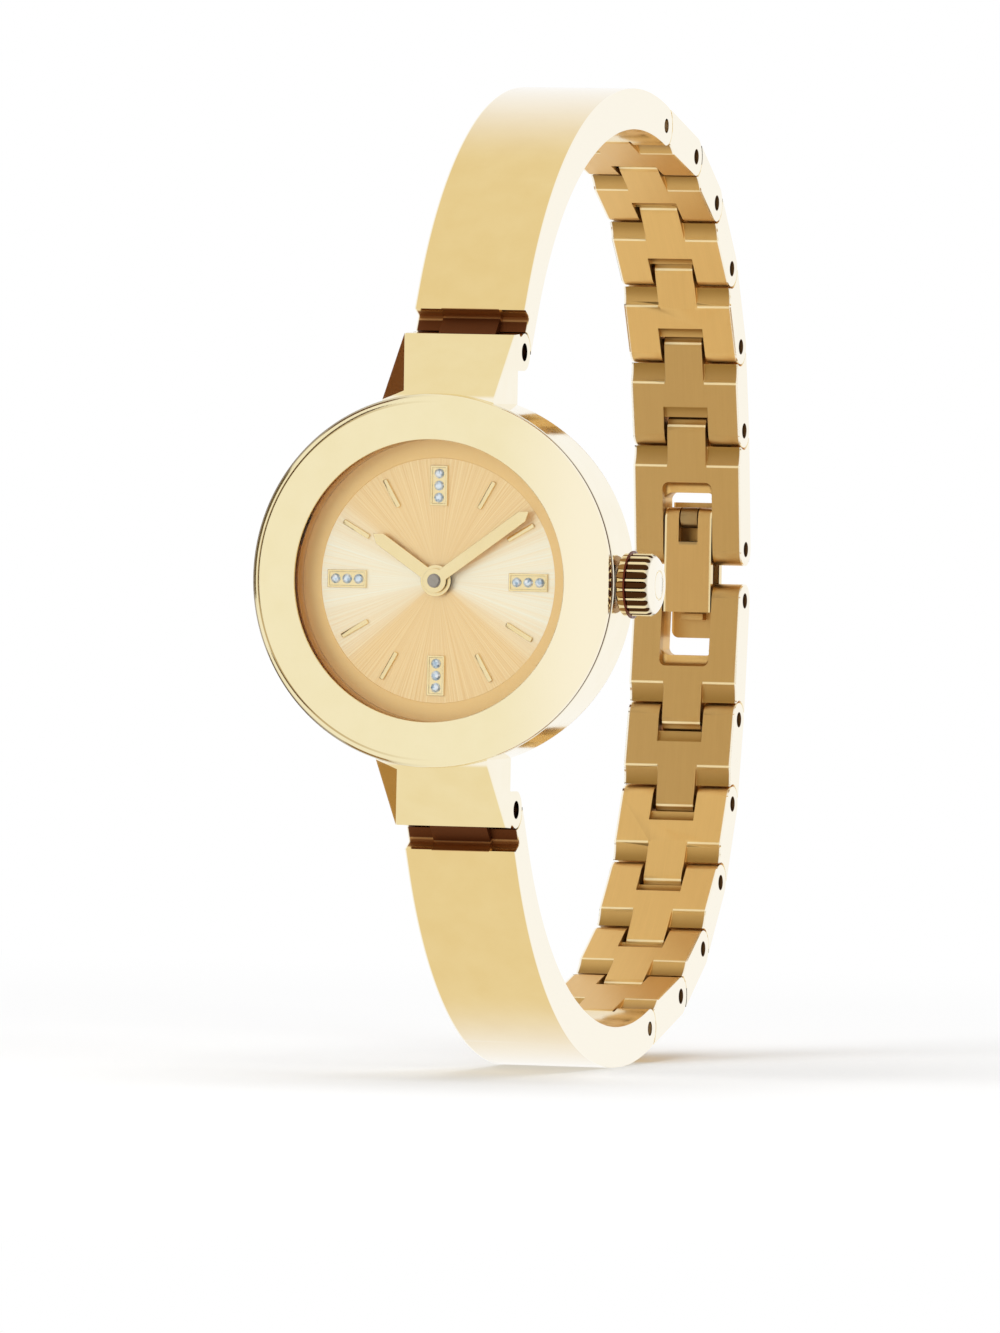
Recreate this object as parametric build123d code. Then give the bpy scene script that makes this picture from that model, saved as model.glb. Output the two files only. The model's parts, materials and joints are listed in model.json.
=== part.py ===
import os
from math import asin, cos, radians, sin, sqrt

from build123d import *

# A slim bangle watch, upright and closed. Lengths are in millimetres, angles in degrees.
# +X points to the crown, the dial looks along -Y, the clasp lies at +Y and 12 o'clock is up +Z.
# The case back's outer face lies at Y = 0.

# case
case_radius = 12.5
case_thickness = 7.4
case_edge_round = 0.6
bezel_height = 1.4
bezel_corner = 0.75
bezel_flat_radius = case_radius - bezel_corner
bezel_groove_depth = 0.3
bezel_front_width = 3.07
bezel_wall = 0.9
aperture_radius = case_radius - bezel_front_width
crystal_ledge = 0.57
crystal_seat_radius = aperture_radius + crystal_ledge
bezel_skirt_radius = crystal_seat_radius + bezel_wall
crystal_lip = 0.25
crystal_thickness = 0.7
crystal_gasket_width = 0.15
crystal_edge_chamfer = 0.12
dial_depth = 2.1
dial_thickness = 0.4
dial_edge_width = 0.3
dial_radius = crystal_seat_radius + dial_edge_width
dial_ring_width = 2.1
dial_disc_radius = dial_radius - dial_ring_width
dial_disc_step = 0.06
bore_clearance = 0.05
back_plate_thickness = 0.7
back_step_height = 0.55
back_edge_round = 0.3
back_gasket_setback = 0.45
back_gasket_inner = dial_radius + back_gasket_setback
back_gasket_width = 0.55
back_gasket_height = 0.35
back_plate_land = 0.4
back_plate_radius = back_gasket_inner + back_gasket_width + back_plate_land

# movement
holder_width = 1.8
movement_radius = dial_radius - holder_width
movement_height = 3.1
movement_bore_depth = 1.1
battery_radius_share = 0.4
battery_radius = movement_radius * battery_radius_share
battery_height = 1.65
battery_rim = 0.8
battery_off_centre = movement_radius - battery_radius - battery_rim
battery_angle = 215
battery_gap = 0.05
battery_step = 0.25
battery_step_height = 0.35
coil_length = 6.0
coil_radius = 0.8
coil_end_radius = 1.0
coil_end_width = 0.5
coil_rim = 3.3
coil_off_centre = movement_radius - coil_rim

# hands
hand_running_gap = 0.05
minute_arbor_radius = 0.45
hour_tube_bore = minute_arbor_radius + hand_running_gap
hour_tube_wall = 0.25
hour_tube_radius = hour_tube_bore + hour_tube_wall
dial_hole_gap = 0.2
dial_hole_radius = hour_tube_radius + dial_hole_gap
hand_thickness = 0.15
hour_hand_depth = 1.55
minute_hand_depth = 1.22
pin_cap_radius = 0.38
pin_cap_height = 0.14
hour_hub_width = 0.3
minute_hub_width = 0.37
hour_hub_radius = hour_tube_radius + hour_hub_width
minute_hub_radius = minute_arbor_radius + minute_hub_width
hour_hand_gap = 2.8
minute_hand_gap = 0.1
hour_hand_length = dial_disc_radius - hour_hand_gap
minute_hand_length = dial_disc_radius - minute_hand_gap
hour_hand_width = 0.85
minute_hand_width = 0.8
hand_tip_length = 0.42
hour_hand_angle = 304.5
minute_hand_angle = 54

# dial markers
marker_height = 0.22
marker_edge_gap = 0.5
baton_outer_radius = dial_disc_radius - marker_edge_gap
baton_length = 2.1
baton_width = 0.34
frame_length = 2.7
frame_width = 1.2
frame_rim = 0.14
frame_floor_share = 0.5
stone_count = 3
stone_radius = 0.38
stone_height = 0.2
stone_table_share = 0.55
stone_sides = 8
marker_count = 12
framed_every = 3

# crown
running_gap = 0.05
crown_radius = 2.1
crown_height = 2.3
crown_depth = 3.55
crown_gap = 0.22
crown_start = case_radius + crown_gap
crown_dome_height = 0.6
crown_dome_bulge_share = 0.72
crown_flange_rim = 0.18
crown_flange_radius = crown_radius + crown_flange_rim
crown_flange_width = 0.14
crown_disc_radius = 0.9
crown_disc_groove = 0.12
crown_flutes = 20
crown_flute_radius = 0.27
crown_flute_sink = 0.04
crown_flute_start = 0.45
crown_flute_end = 0.4
crown_cavity_depth = 1.5
crown_pull = 1.0
stem_radius = 0.45
tube_bore_gap = 0.15
tube_bore = stem_radius + tube_bore_gap
tube_wall = 0.45
tube_radius = tube_bore + tube_wall
tube_setback = 0.1
tube_inner_end = dial_radius + bore_clearance + tube_setback
tube_reach = 1.13
tube_length = crown_start + tube_reach - tube_inner_end
crown_cavity_gap = 0.25
crown_cavity_radius = tube_radius + crown_cavity_gap
stem_insertion = 3.3
stem_inner_end = movement_radius - stem_insertion
stem_groove_depth = 0.15
stem_groove_width = 0.5
stem_groove_setback = 1.4
stem_groove_start = stem_inner_end + stem_groove_setback
stem_thread_overlap = 0.5
crown_ring_radius = crown_cavity_radius - running_gap
crown_ring_height = 0.3
lever_thickness = 0.4
lever_width = 1.6
lever_height = 1.4

# bracelet
band_width = 7.8
band_gap = 0.15
side_gap = 0.2
band_bevel = 0.22
tongue_width = 2.8
tongue_bevel = 0.12
pin_radius = 0.5
pin_recess = 0.3
pin_end_chamfer = 0.08
bangle_angle = 28
bangle_straight = 4.0
bangle_root_thickness = 2.6
bangle_notch_reach = 2.5
bangle_notch_depth = 1.0
bangle_neck_radius = 0.8
bangle_thickness = 2.9
bangle_end_angle = 106
bangle_slot_width = tongue_width + 2 * side_gap
link_count = 5
link_pitch = 6.0
first_link_pitch = 7.5
clasp_link_pitch = 8.37
bangle_knuckle_wall = 0.85
clasp_knuckle_wall = 0.65
bangle_end_radius = pin_radius + bangle_knuckle_wall
clasp_knuckle_radius = pin_radius + clasp_knuckle_wall

# turn of each link from the clasp towards the bangle, from straight up towards the case
clasp_link_angle = 6.2
link_angles = [11.5, 25.0, 41.0, 58.5, 74.5]
clasp_depth = 60.7
clasp_pin_height = 1.8

# lugs
lug_width = band_width
lug_pin_drop = 0.7
lug_pin_depth = case_thickness + lug_pin_drop
lug_reach = 2.85
lug_pin_height = case_radius + lug_reach
lug_pin_radius = 0.6
lug_knuckle_wall = 0.65
lug_knuckle_radius = lug_pin_radius + lug_knuckle_wall
lug_root_overlap = 0.3
lug_root_radius = bezel_skirt_radius - lug_root_overlap
lug_front_rise = 0.15
lug_front_height = case_radius + lug_front_rise
lug_lip_lead = 2.1
lug_lip_depth = lug_pin_depth - lug_lip_lead
lug_lip_lift = 1.15
lug_lip_height = lug_pin_height + lug_lip_lift
lug_lip_flat = 0.9
lug_lip_rise = 0.05
lug_tongue_width = 4.0
lug_edge_bevel = 0.2
lug_flank_inset = 1.5
lug_flank_drop = 0.65

# clasp
clasp_part_width = 3.4
window_gap = 0.1
window_width = clasp_part_width + 2 * window_gap
window_reach = 3.9
window_end = clasp_pin_height + window_reach
bar_gap = 0.1
blade_outer = pin_radius + bar_gap
blade_reach = 2.15
blade_top = clasp_pin_height + blade_reach
blade_eye_wall = 0.35
blade_bottom_radius = pin_radius + blade_eye_wall
cover_pin_radius = 0.3
cover_eye_wall = 0.42
cover_eye_radius = cover_pin_radius + cover_eye_wall
cover_eye_inset = 0.4
cover_tab_width = 1.2
cover_tab_gap = 0.1
cover_gap = 0.45
cover_inner = pin_radius + cover_gap
cover_thickness = 0.6
cover_top = 1.05
cover_reach = 2.7
cover_bottom = clasp_pin_height + cover_reach
cover_end_round = 0.5
latch_width = 1.6
latch_thickness = 0.45
latch_reach = 0.85
latch_gap = 0.12
notch_height = 2.4

back_plane = Plane.YZ
dial_angle_step = 360 / marker_count


def depth(value):
    """Y of a place that lies this far behind the bezel's front face."""
    return value - case_thickness


def point(y, z):
    """A place in the side view."""
    return Vector(y, z)


def heading(angle):
    """Side-view direction, turned from straight up towards the clasp."""
    return Vector(sin(radians(angle)), cos(radians(angle)))


def left_of(direction):
    """The direction a quarter turn to the left in the side view."""
    return Vector(-direction.Y, direction.X)


def place(face):
    """Move a side-view drawing from the XY plane to the YZ plane."""
    return back_plane.from_local_coords(face)


def slab(face, width):
    """A side-view drawing made solid, centred on the band's middle plane."""
    return extrude(place(face), amount=width / 2, dir=(1, 0, 0), both=True)


def disc(centre, radius):
    return Pos(centre.X, centre.Y) * Circle(radius)


def rod(centre, radius, width):
    """A cylinder along X through a place in the side view."""
    return slab(disc(centre, radius), width)


def capsule(start, start_radius, end, end_radius):
    """Side-view outline of two rounded ends joined by their outer tangents."""
    run = end - start
    along = run.normalized()
    across = left_of(along)
    lean = asin((start_radius - end_radius) / run.length)
    corners = []
    for side in (1, -1):
        normal = across * (side * cos(lean)) + along * sin(lean)
        corners.append((start + normal * start_radius, end + normal * end_radius))
    left, right = corners
    middle = make_face(Polyline(left[0], left[1], right[1], right[0], close=True))
    return disc(start, start_radius) + middle + disc(end, end_radius)


def bevelled_slab(face, width, bevel):
    """A slab whose side faces have a small bevel all round."""
    body = slab(face, width)
    side_faces = body.faces().filter_by(Axis.X)
    return chamfer(side_faces.edges(), bevel)


def ring(inner, outer, near, far):
    """A plain ring about the case axis, between two depths."""
    face = Pos((inner + outer) / 2, (near + far) / 2) * Rectangle(outer - inner, far - near)
    return revolve(face, axis=Axis.Y)


def puck(radius, near, far):
    """A disc about the case axis, between two Y values."""
    middle = (near + far) / 2
    return Pos(0, middle, 0) * Rot(90, 0, 0) * Cylinder(radius, far - near)


def dial_turn(solid, angle):
    """Turn clockwise about the case axis, as seen from the front."""
    return Rot(0, angle, 0) * solid


# case pieces

def make_bezel():
    front = depth(0)
    corner = bezel_corner
    seam = depth(bezel_height)
    groove_radius = case_radius - bezel_groove_depth
    outline = Polyline(
        (groove_radius, seam),
        (bezel_skirt_radius, seam),
        (bezel_skirt_radius, depth(dial_depth)),
        (crystal_seat_radius, depth(dial_depth)),
        (crystal_seat_radius, front + crystal_lip),
        (aperture_radius, front + crystal_lip),
        (aperture_radius, front),
        (bezel_flat_radius, front),
    )
    shoulder = CenterArc((bezel_flat_radius, front + corner), corner, -90, 90)
    side = Line((case_radius, front + corner), (case_radius, seam - bezel_groove_depth))
    bevel = Line((case_radius, seam - bezel_groove_depth), (groove_radius, seam))
    return revolve(make_face(outline + shoulder + side + bevel), axis=Axis.Y)


def make_crystal():
    near = depth(crystal_lip)
    radius = crystal_seat_radius - crystal_gasket_width
    glass = puck(radius, near, near + crystal_thickness)
    back_edge = glass.edges().filter_by(GeomType.CIRCLE).sort_by(Axis.Y)[-1]
    return chamfer(back_edge, crystal_edge_chamfer)


def make_crystal_gasket():
    near = depth(crystal_lip)
    inner = crystal_seat_radius - crystal_gasket_width
    return ring(inner, crystal_seat_radius, near, near + crystal_thickness)


def make_inner_ring():
    near = depth(crystal_lip) + crystal_thickness
    return ring(aperture_radius, crystal_seat_radius, near, depth(dial_depth))


def make_dial():
    near = depth(dial_depth)
    plate = puck(dial_radius, near, near + dial_thickness)
    plate -= puck(dial_disc_radius, near, near + dial_disc_step)
    plate -= puck(dial_hole_radius, near, near + dial_thickness)
    return plate


def marker_box(length, width, height, outer_radius):
    """A block on the dial below 12 o'clock, reaching out to a radius."""
    base = depth(dial_depth) + dial_disc_step
    centre = (0, base - height / 2, outer_radius - length / 2)
    return Pos(*centre) * Box(width, height, length)


def framed_marker():
    """A gold frame with an open top, for a row of stones."""
    block = marker_box(frame_length, frame_width, marker_height, baton_outer_radius)
    pocket_length = frame_length - 2 * frame_rim
    pocket_width = frame_width - 2 * frame_rim
    outer = baton_outer_radius - frame_rim
    pocket = marker_box(pocket_length, pocket_width, marker_height, outer)
    return block - Pos(0, -marker_height * frame_floor_share, 0) * pocket


def make_dial_markers():
    """Slim batons, and wide framed ones at the quarters."""
    pieces = []
    for index in range(marker_count):
        if index % framed_every == 0:
            shape = framed_marker()
        else:
            shape = marker_box(baton_length, baton_width, marker_height, baton_outer_radius)
        pieces.append(dial_turn(shape, index * dial_angle_step))
    return Compound(children=pieces)


def stone(centre_z):
    """One small cut stone with its table towards the glass."""
    base = depth(dial_depth) + dial_disc_step - marker_height / 2
    girdle = RegularPolygon(stone_radius, stone_sides)
    table = RegularPolygon(stone_radius * stone_table_share, stone_sides)
    lower = Plane((0, base, centre_z), x_dir=(1, 0, 0), z_dir=(0, -1, 0))
    upper = Plane((0, base - stone_height, centre_z), x_dir=(1, 0, 0), z_dir=(0, -1, 0))
    return loft([lower * girdle, upper * table])


def make_marker_stones():
    """A row of stones in each quarter frame."""
    pieces = []
    room = frame_length - 2 * frame_rim
    pitch = room / stone_count
    first = baton_outer_radius - frame_rim - pitch / 2
    for index in range(0, marker_count, framed_every):
        for place_in_row in range(stone_count):
            shape = stone(first - place_in_row * pitch)
            pieces.append(dial_turn(shape, index * dial_angle_step))
    return Compound(children=pieces)


def lug_profile():
    """Side view of the upper lug, from inside the case wall to the pin."""
    pin = point(depth(lug_pin_depth), lug_pin_height)
    back = depth(case_thickness - back_plate_thickness)
    lip = point(depth(lug_lip_depth), lug_lip_height)
    outline = Polyline(
        (depth(bezel_height), lug_root_radius),
        (depth(bezel_height), lug_front_height),
        lip,
        (lip.X + lug_lip_flat, lip.Y + lug_lip_rise),
        pin + heading(-45) * lug_knuckle_radius,
        (pin.X, pin.Y),
        (pin.X, pin.Y - lug_knuckle_radius),
        (back, lug_pin_height - lug_knuckle_radius),
        (back, lug_root_radius),
        close=True,
    )
    return make_face(outline) + disc(pin, lug_knuckle_radius)


def flank_cutter(side):
    """A block whose lower face is the slanted flank along one front edge of the upper lug."""
    half = side * lug_width / 2
    lip = Vector(half, depth(lug_lip_depth), lug_lip_height)
    inner = Vector(half - side * lug_flank_inset, depth(bezel_height), lug_front_height)
    outer = Vector(half, depth(bezel_height) + lug_flank_drop, lug_front_height)
    run = inner - lip
    outwards = run.cross(outer - lip) * side
    flank = Plane(origin=lip, x_dir=run, z_dir=outwards)
    reach = 2 * run.length
    return extrude(flank * Rectangle(reach, reach), amount=lug_width)


def make_upper_lug():
    """The upper lug: a sloping front that narrows towards the case, and a slot for the bangle."""
    pin = point(depth(lug_pin_depth), lug_pin_height)
    body = bevelled_slab(lug_profile(), lug_width, lug_edge_bevel)
    body -= [flank_cutter(side) for side in (1, -1)]
    slot_radius = lug_knuckle_radius + band_gap
    way_out = pin + heading(bangle_angle) * (2 * slot_radius)
    slot = capsule(pin, slot_radius, way_out, slot_radius)
    body -= slab(slot, lug_tongue_width + 2 * side_gap)
    body -= rod(pin, lug_pin_radius, lug_width)
    return body


def make_case_middle():
    seam = depth(bezel_height)
    back = depth(case_thickness - back_plate_thickness)
    bore = dial_radius + bore_clearance
    blank = puck(case_radius, seam, back)
    rear_edge = blank.edges().filter_by(GeomType.CIRCLE).sort_by(Axis.Y)[-1]
    blank = fillet(rear_edge, case_edge_round)
    upper = make_upper_lug()
    lower = mirror(upper, about=Plane.XY)
    body = blank + upper + lower
    body -= puck(bezel_skirt_radius, seam, depth(dial_depth))
    body -= puck(bore, seam, back)
    gasket_outer = back_gasket_inner + back_gasket_width
    body -= ring(back_gasket_inner, gasket_outer, back - back_gasket_height, back)
    body -= crown_rod(tube_radius, dial_radius, case_radius + case_edge_round)
    return body


def make_case_back():
    back = depth(case_thickness - back_plate_thickness)
    plate = puck(back_plate_radius, back, depth(case_thickness))
    rear_edge = plate.edges().filter_by(GeomType.CIRCLE).sort_by(Axis.Y)[-1]
    plate = chamfer(rear_edge, back_edge_round)
    return plate + puck(dial_radius, back - back_step_height, back)


def make_case_back_gasket():
    back = depth(case_thickness - back_plate_thickness)
    gasket_outer = back_gasket_inner + back_gasket_width
    return ring(back_gasket_inner, gasket_outer, back - back_gasket_height, back)


# movement

def crown_rod(radius, start, end):
    """A cylinder along the crown's axis, between two X values."""
    middle = (start + end) / 2
    return Pos(middle, depth(crown_depth), 0) * Rot(0, 90, 0) * Cylinder(radius, end - start)


def movement_front():
    return depth(dial_depth) + dial_thickness


def movement_back():
    return movement_front() + movement_height


def battery_place():
    across = battery_off_centre * cos(radians(battery_angle))
    up = battery_off_centre * sin(radians(battery_angle))
    return across, up


def make_movement_holder():
    """Plastic ring that centres the movement in the case."""
    step = depth(case_thickness - back_plate_thickness) - back_step_height
    body = ring(movement_radius, dial_radius, movement_front(), step)
    body -= crown_rod(tube_bore, movement_radius - lever_width, case_radius)
    return body


def make_movement():
    """Closed quartz module with pockets for the cell, the coil and the stem."""
    across, up = battery_place()
    pocket = battery_height + battery_gap
    body = puck(movement_radius, movement_front(), movement_back())
    body -= Pos(across, 0, up) * puck(battery_radius + battery_gap, movement_back() - pocket, movement_back())
    body -= puck(hour_tube_radius + hand_running_gap, movement_front(), movement_front() + movement_bore_depth)
    body -= crown_rod(stem_radius + running_gap, stem_inner_end - crown_pull, movement_radius)
    body -= lever_pocket()
    body -= coil_pocket()
    return body


def make_battery():
    across, up = battery_place()
    bottom = movement_back() - battery_height
    can = puck(battery_radius, bottom + battery_step_height, movement_back())
    cap = puck(battery_radius - battery_step, bottom, bottom + battery_step_height)
    return Pos(across, 0, up) * (can + cap)


def coil_rod(radius, start, end):
    """A cylinder along X beside the cell, sunk in the movement's back."""
    middle = (start + end) / 2
    up = coil_off_centre
    inside = movement_back() - coil_end_radius
    return Pos(middle, inside, up) * Rot(0, 90, 0) * Cylinder(radius, end - start)


def make_coil():
    half = coil_length / 2
    body = coil_rod(coil_radius, -half, half)
    body += coil_rod(coil_end_radius, -half, -half + coil_end_width)
    body += coil_rod(coil_end_radius, half - coil_end_width, half)
    return body


def coil_pocket():
    half = coil_length / 2
    width = 2 * coil_end_radius
    inside = movement_back() - coil_end_radius
    return Pos(0, inside, coil_off_centre) * Box(2 * half, width, width)


def lever_box(thickness, start):
    middle = start + thickness / 2
    return Pos(middle, depth(crown_depth), 0) * Box(thickness, lever_width, lever_height)


def make_setting_lever():
    """Small plate in the stem's groove that moves in and out with it."""
    start = stem_groove_start + (stem_groove_width - lever_thickness) / 2
    plate = lever_box(lever_thickness, start)
    groove_radius = stem_radius - stem_groove_depth + running_gap
    opening = crown_rod(groove_radius, start, start + lever_thickness)
    slot_height = lever_height / 2
    way_out = Pos(0, 0, -slot_height / 2) * Pos(start + lever_thickness / 2, depth(crown_depth), 0)
    slot = way_out * Box(lever_thickness, 2 * groove_radius, slot_height)
    return plate - opening - slot


def lever_pocket():
    """Room for the setting lever over the crown's whole pull."""
    room = lever_thickness + stem_groove_width + crown_pull
    middle = stem_groove_start + room / 2 - running_gap
    width = lever_width + 2 * running_gap
    height = lever_height + 2 * running_gap
    return Pos(middle, depth(crown_depth), 0) * Box(room, width, height)


# crown

def flute_cutter():
    """One groove with a round outer end, at the crown's top."""
    start = crown_start + crown_flute_start
    end = crown_start + crown_height - crown_dome_height - crown_flute_end
    lift = crown_radius + crown_flute_sink
    groove = crown_rod(crown_flute_radius, start, end)
    tip = Pos(end, depth(crown_depth), 0) * Sphere(crown_flute_radius)
    heel = Pos(start, depth(crown_depth), 0) * Sphere(crown_flute_radius)
    return Pos(0, 0, lift) * (groove + tip + heel)


def make_crown():
    """Fluted crown with a thin flange at the case, a domed front and a plain disc set in it."""
    end = crown_start + crown_height
    rim = end - crown_dome_height
    outline = Polyline(
        (crown_start, 0),
        (crown_start, crown_flange_radius),
        (crown_start + crown_flange_width, crown_flange_radius),
        (crown_start + crown_flange_width, crown_radius),
        (rim, crown_radius),
    )
    dome_edge = point(end, crown_disc_radius + crown_disc_groove)
    dome = ThreePointArc(
        (rim, crown_radius),
        (rim + crown_dome_height * crown_dome_bulge_share, (crown_radius + dome_edge.Y) / 2 + crown_disc_groove),
        dome_edge,
    )
    front = Polyline(
        dome_edge,
        (end - crown_disc_groove, crown_disc_radius + crown_disc_groove),
        (end - crown_disc_groove, crown_disc_radius),
        (end, crown_disc_radius),
        (end, 0),
        (crown_start, 0),
    )
    body = revolve(make_face(outline + dome + front), axis=Axis.X)
    body = Pos(0, depth(crown_depth), 0) * body
    cutter = flute_cutter()
    centre = Axis((0, depth(crown_depth), 0), (1, 0, 0))
    body -= [cutter.rotate(centre, index * 360 / crown_flutes) for index in range(crown_flutes)]
    body -= crown_rod(crown_cavity_radius, crown_start, crown_start + crown_cavity_depth)
    body -= crown_rod(stem_radius, crown_start, crown_start + crown_cavity_depth + stem_thread_overlap)
    return body


def make_crown_tube():
    body = crown_rod(tube_radius, tube_inner_end, tube_inner_end + tube_length)
    return body - crown_rod(tube_bore, tube_inner_end, tube_inner_end + tube_length)


def make_stem():
    end = crown_start + crown_cavity_depth + stem_thread_overlap
    body = crown_rod(stem_radius, stem_inner_end, end)
    groove_end = stem_groove_start + stem_groove_width
    groove = crown_rod(stem_radius, stem_groove_start, groove_end)
    core = crown_rod(stem_radius - stem_groove_depth, stem_groove_start, groove_end)
    return body - (groove - core)


def make_crown_gasket():
    """Seal at the bottom of the crown's cavity, round the stem."""
    end = crown_start + crown_cavity_depth
    body = crown_rod(crown_ring_radius, end - crown_ring_height, end)
    return body - crown_rod(stem_radius, end - crown_ring_height, end)


# hands

def hand_shape(length, width, hub_radius, near):
    """A flat hand that points to 12 o'clock, from a round hub to a pointed tip."""
    half = width / 2
    outline = Polyline(
        (-half, 0),
        (half, 0),
        (half, length - hand_tip_length),
        (0, length),
        (-half, length - hand_tip_length),
        close=True,
    )
    face = make_face(outline) + Circle(hub_radius)
    plane = Plane((0, near + hand_thickness, 0), x_dir=(1, 0, 0), z_dir=(0, -1, 0))
    return extrude(plane * face, amount=hand_thickness)


def make_hour_hand():
    near = depth(hour_hand_depth)
    body = hand_shape(hour_hand_length, hour_hand_width, hour_hub_radius, near)
    body -= puck(hour_tube_radius, near, near + hand_thickness)
    return dial_turn(body, hour_hand_angle)


def make_hour_tube():
    """Tube that carries the hour hand and turns round the minute arbor."""
    near = depth(hour_hand_depth)
    far = movement_front() + movement_bore_depth - hand_running_gap
    return puck(hour_tube_radius, near, far) - puck(hour_tube_bore, near, far)


def make_minute_hand():
    near = depth(minute_hand_depth)
    body = hand_shape(minute_hand_length, minute_hand_width, minute_hub_radius, near)
    body -= puck(minute_arbor_radius, near, near + hand_thickness)
    return dial_turn(body, minute_hand_angle)


def make_minute_arbor():
    """Arbor of the minute hand, with a small cap over the hub."""
    near = depth(minute_hand_depth)
    far = movement_front() + movement_bore_depth - hand_running_gap
    return puck(minute_arbor_radius, near, far) + puck(pin_cap_radius, near - pin_cap_height, near)


# bracelet places, all in the side view of the upper half

def clasp_middle():
    return point(depth(clasp_depth), 0)


def pin_places():
    """The upper half's pin centres, from the clasp to the bangle."""
    places = [point(depth(clasp_depth), clasp_pin_height)]
    steps = [(clasp_link_angle, clasp_link_pitch)]
    for lean in link_angles[:-1]:
        steps.append((lean, link_pitch))
    steps.append((link_angles[-1], first_link_pitch))
    for lean, pitch in steps:
        places.append(places[-1] + heading(-lean) * pitch)
    return places


def knuckle_radii():
    """Rounded end radius at each pin, from the clasp to the bangle."""
    steps = link_count + 1
    growth = (bangle_end_radius - clasp_knuckle_radius) / steps
    return [clasp_knuckle_radius + growth * index for index in range(steps + 1)]


def lug_pin_place():
    return point(depth(lug_pin_depth), lug_pin_height)


def two_arcs(start, start_way, end, end_way):
    """The place and heading where two tangent arcs meet between two ends."""
    run = end - start
    both = start_way + end_way
    spread = 2 * (1 - start_way.dot(end_way))
    reach = (sqrt(run.dot(both) ** 2 + spread * run.dot(run)) - run.dot(both)) / spread
    first = start + start_way * reach
    second = end - end_way * reach
    return (first + second) * 0.5, (second - first).normalized()


def bangle_profile():
    """Side view of the upper bangle, from the lug pin to its first link pin."""
    lug_pin = lug_pin_place()
    end_pin = pin_places()[-1]
    out = heading(bangle_angle)
    over = heading(bangle_end_angle)
    bend = lug_pin + out * bangle_straight
    middle, middle_way = two_arcs(bend, out, end_pin, over)
    stations = [
        (lug_pin, out, bangle_root_thickness / 2),
        (bend, out, bangle_root_thickness / 2),
        (middle, middle_way, bangle_thickness / 2),
        (end_pin, over, bangle_end_radius),
    ]
    outer = [(spot + left_of(way) * half, way) for spot, way, half in stations]
    inner = [(spot - left_of(way) * half, way) for spot, way, half in stations]
    edges = Line(outer[0][0], outer[1][0])
    edges += TangentArc(outer[1][0], outer[2][0], tangent=outer[1][1])
    edges += TangentArc(outer[3][0], outer[2][0], tangent=outer[3][1] * -1)
    edges += Line(outer[3][0], inner[3][0])
    edges += TangentArc(inner[3][0], inner[2][0], tangent=inner[3][1] * -1)
    edges += TangentArc(inner[1][0], inner[2][0], tangent=inner[1][1])
    edges += Line(inner[1][0], inner[0][0])
    edges += Line(inner[0][0], outer[0][0])
    face = make_face(edges)
    return face + disc(lug_pin, bangle_root_thickness / 2) + disc(end_pin, bangle_end_radius)


def bangle_notch():
    """Side view of the groove across the bangle's outer face, next to the lug."""
    out = heading(bangle_angle)
    across = left_of(out)
    floor = lug_pin_place() + across * (bangle_root_thickness / 2 - bangle_notch_depth)
    near = floor - out * bangle_notch_reach
    far = floor + out * bangle_notch_reach
    rise = across * (2 * bangle_notch_depth)
    return make_face(Polyline(near, far, far + rise, near + rise, close=True))


def bangle_neck():
    """Side view of the tongue in the lug, from its knuckle into the bangle below the groove."""
    out = heading(bangle_angle)
    lug_pin = lug_pin_place()
    inwards = left_of(out) * (bangle_root_thickness / 2 - bangle_neck_radius)
    end = lug_pin + out * (bangle_notch_reach + bangle_neck_radius) - inwards
    return capsule(lug_pin, lug_knuckle_radius, end, bangle_neck_radius)


def make_bangle():
    """The upper bangle: a grooved root with a tongue at the lug, a fork at the first link."""
    lug_pin = lug_pin_place()
    end_pin = pin_places()[-1]
    profile = bangle_profile()
    body = bevelled_slab(profile, band_width, band_bevel)
    body -= slab(bangle_notch(), band_width)
    body -= rod(lug_pin, lug_knuckle_radius + band_gap, band_width)
    body += slab(bangle_neck(), lug_tongue_width)
    body -= rod(lug_pin, lug_pin_radius + running_gap, lug_tongue_width)
    body -= rod(end_pin, bangle_end_radius + band_gap, bangle_slot_width)
    body -= rod(end_pin, pin_radius, band_width)
    return body


def make_link(near_clasp, near_radius, far_pin, far_radius, slot_width):
    """One link: fork and pin at the clasp end, tongue at the bangle end."""
    body = bevelled_slab(capsule(near_clasp, near_radius, far_pin, far_radius), band_width, band_bevel)
    body -= rod(far_pin, far_radius + band_gap, band_width)
    run = near_clasp - far_pin
    reach = far_pin + run.normalized() * (2 * far_radius)
    body += bevelled_slab(capsule(far_pin, far_radius, reach, far_radius), tongue_width, tongue_bevel)
    body -= rod(near_clasp, near_radius + band_gap, slot_width)
    body -= rod(near_clasp, pin_radius, band_width)
    body -= rod(far_pin, pin_radius + running_gap, tongue_width)
    return body


def make_clasp_link():
    """The link that ends in the clasp: a long window between two ears."""
    places = pin_places()
    radii = knuckle_radii()
    body = make_link(places[0], radii[0], places[1], radii[1], tongue_width)
    middle = clasp_middle()
    window = Pos(0, middle.X, 0) * Box(window_width, 2 * clasp_link_pitch, 2 * window_end)
    return body - window


def make_pin(centre, radius, width):
    body = rod(centre, radius, width - 2 * pin_recess)
    ends = body.edges().filter_by(GeomType.CIRCLE)
    return chamfer(ends, pin_end_chamfer)


# clasp

def clasp_point(outwards, up):
    """A place in the side view, from the middle between the clasp's two pins."""
    middle = clasp_middle()
    return point(middle.X + outwards, middle.Y + up)


def flat(low, high):
    """Side-view rectangle between two corners."""
    size = high - low
    centre = (low + high) * 0.5
    return Pos(centre.X, centre.Y) * Rectangle(size.X, size.Y)


def cover_pin_place():
    return clasp_point(-cover_eye_inset, blade_top)


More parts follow.
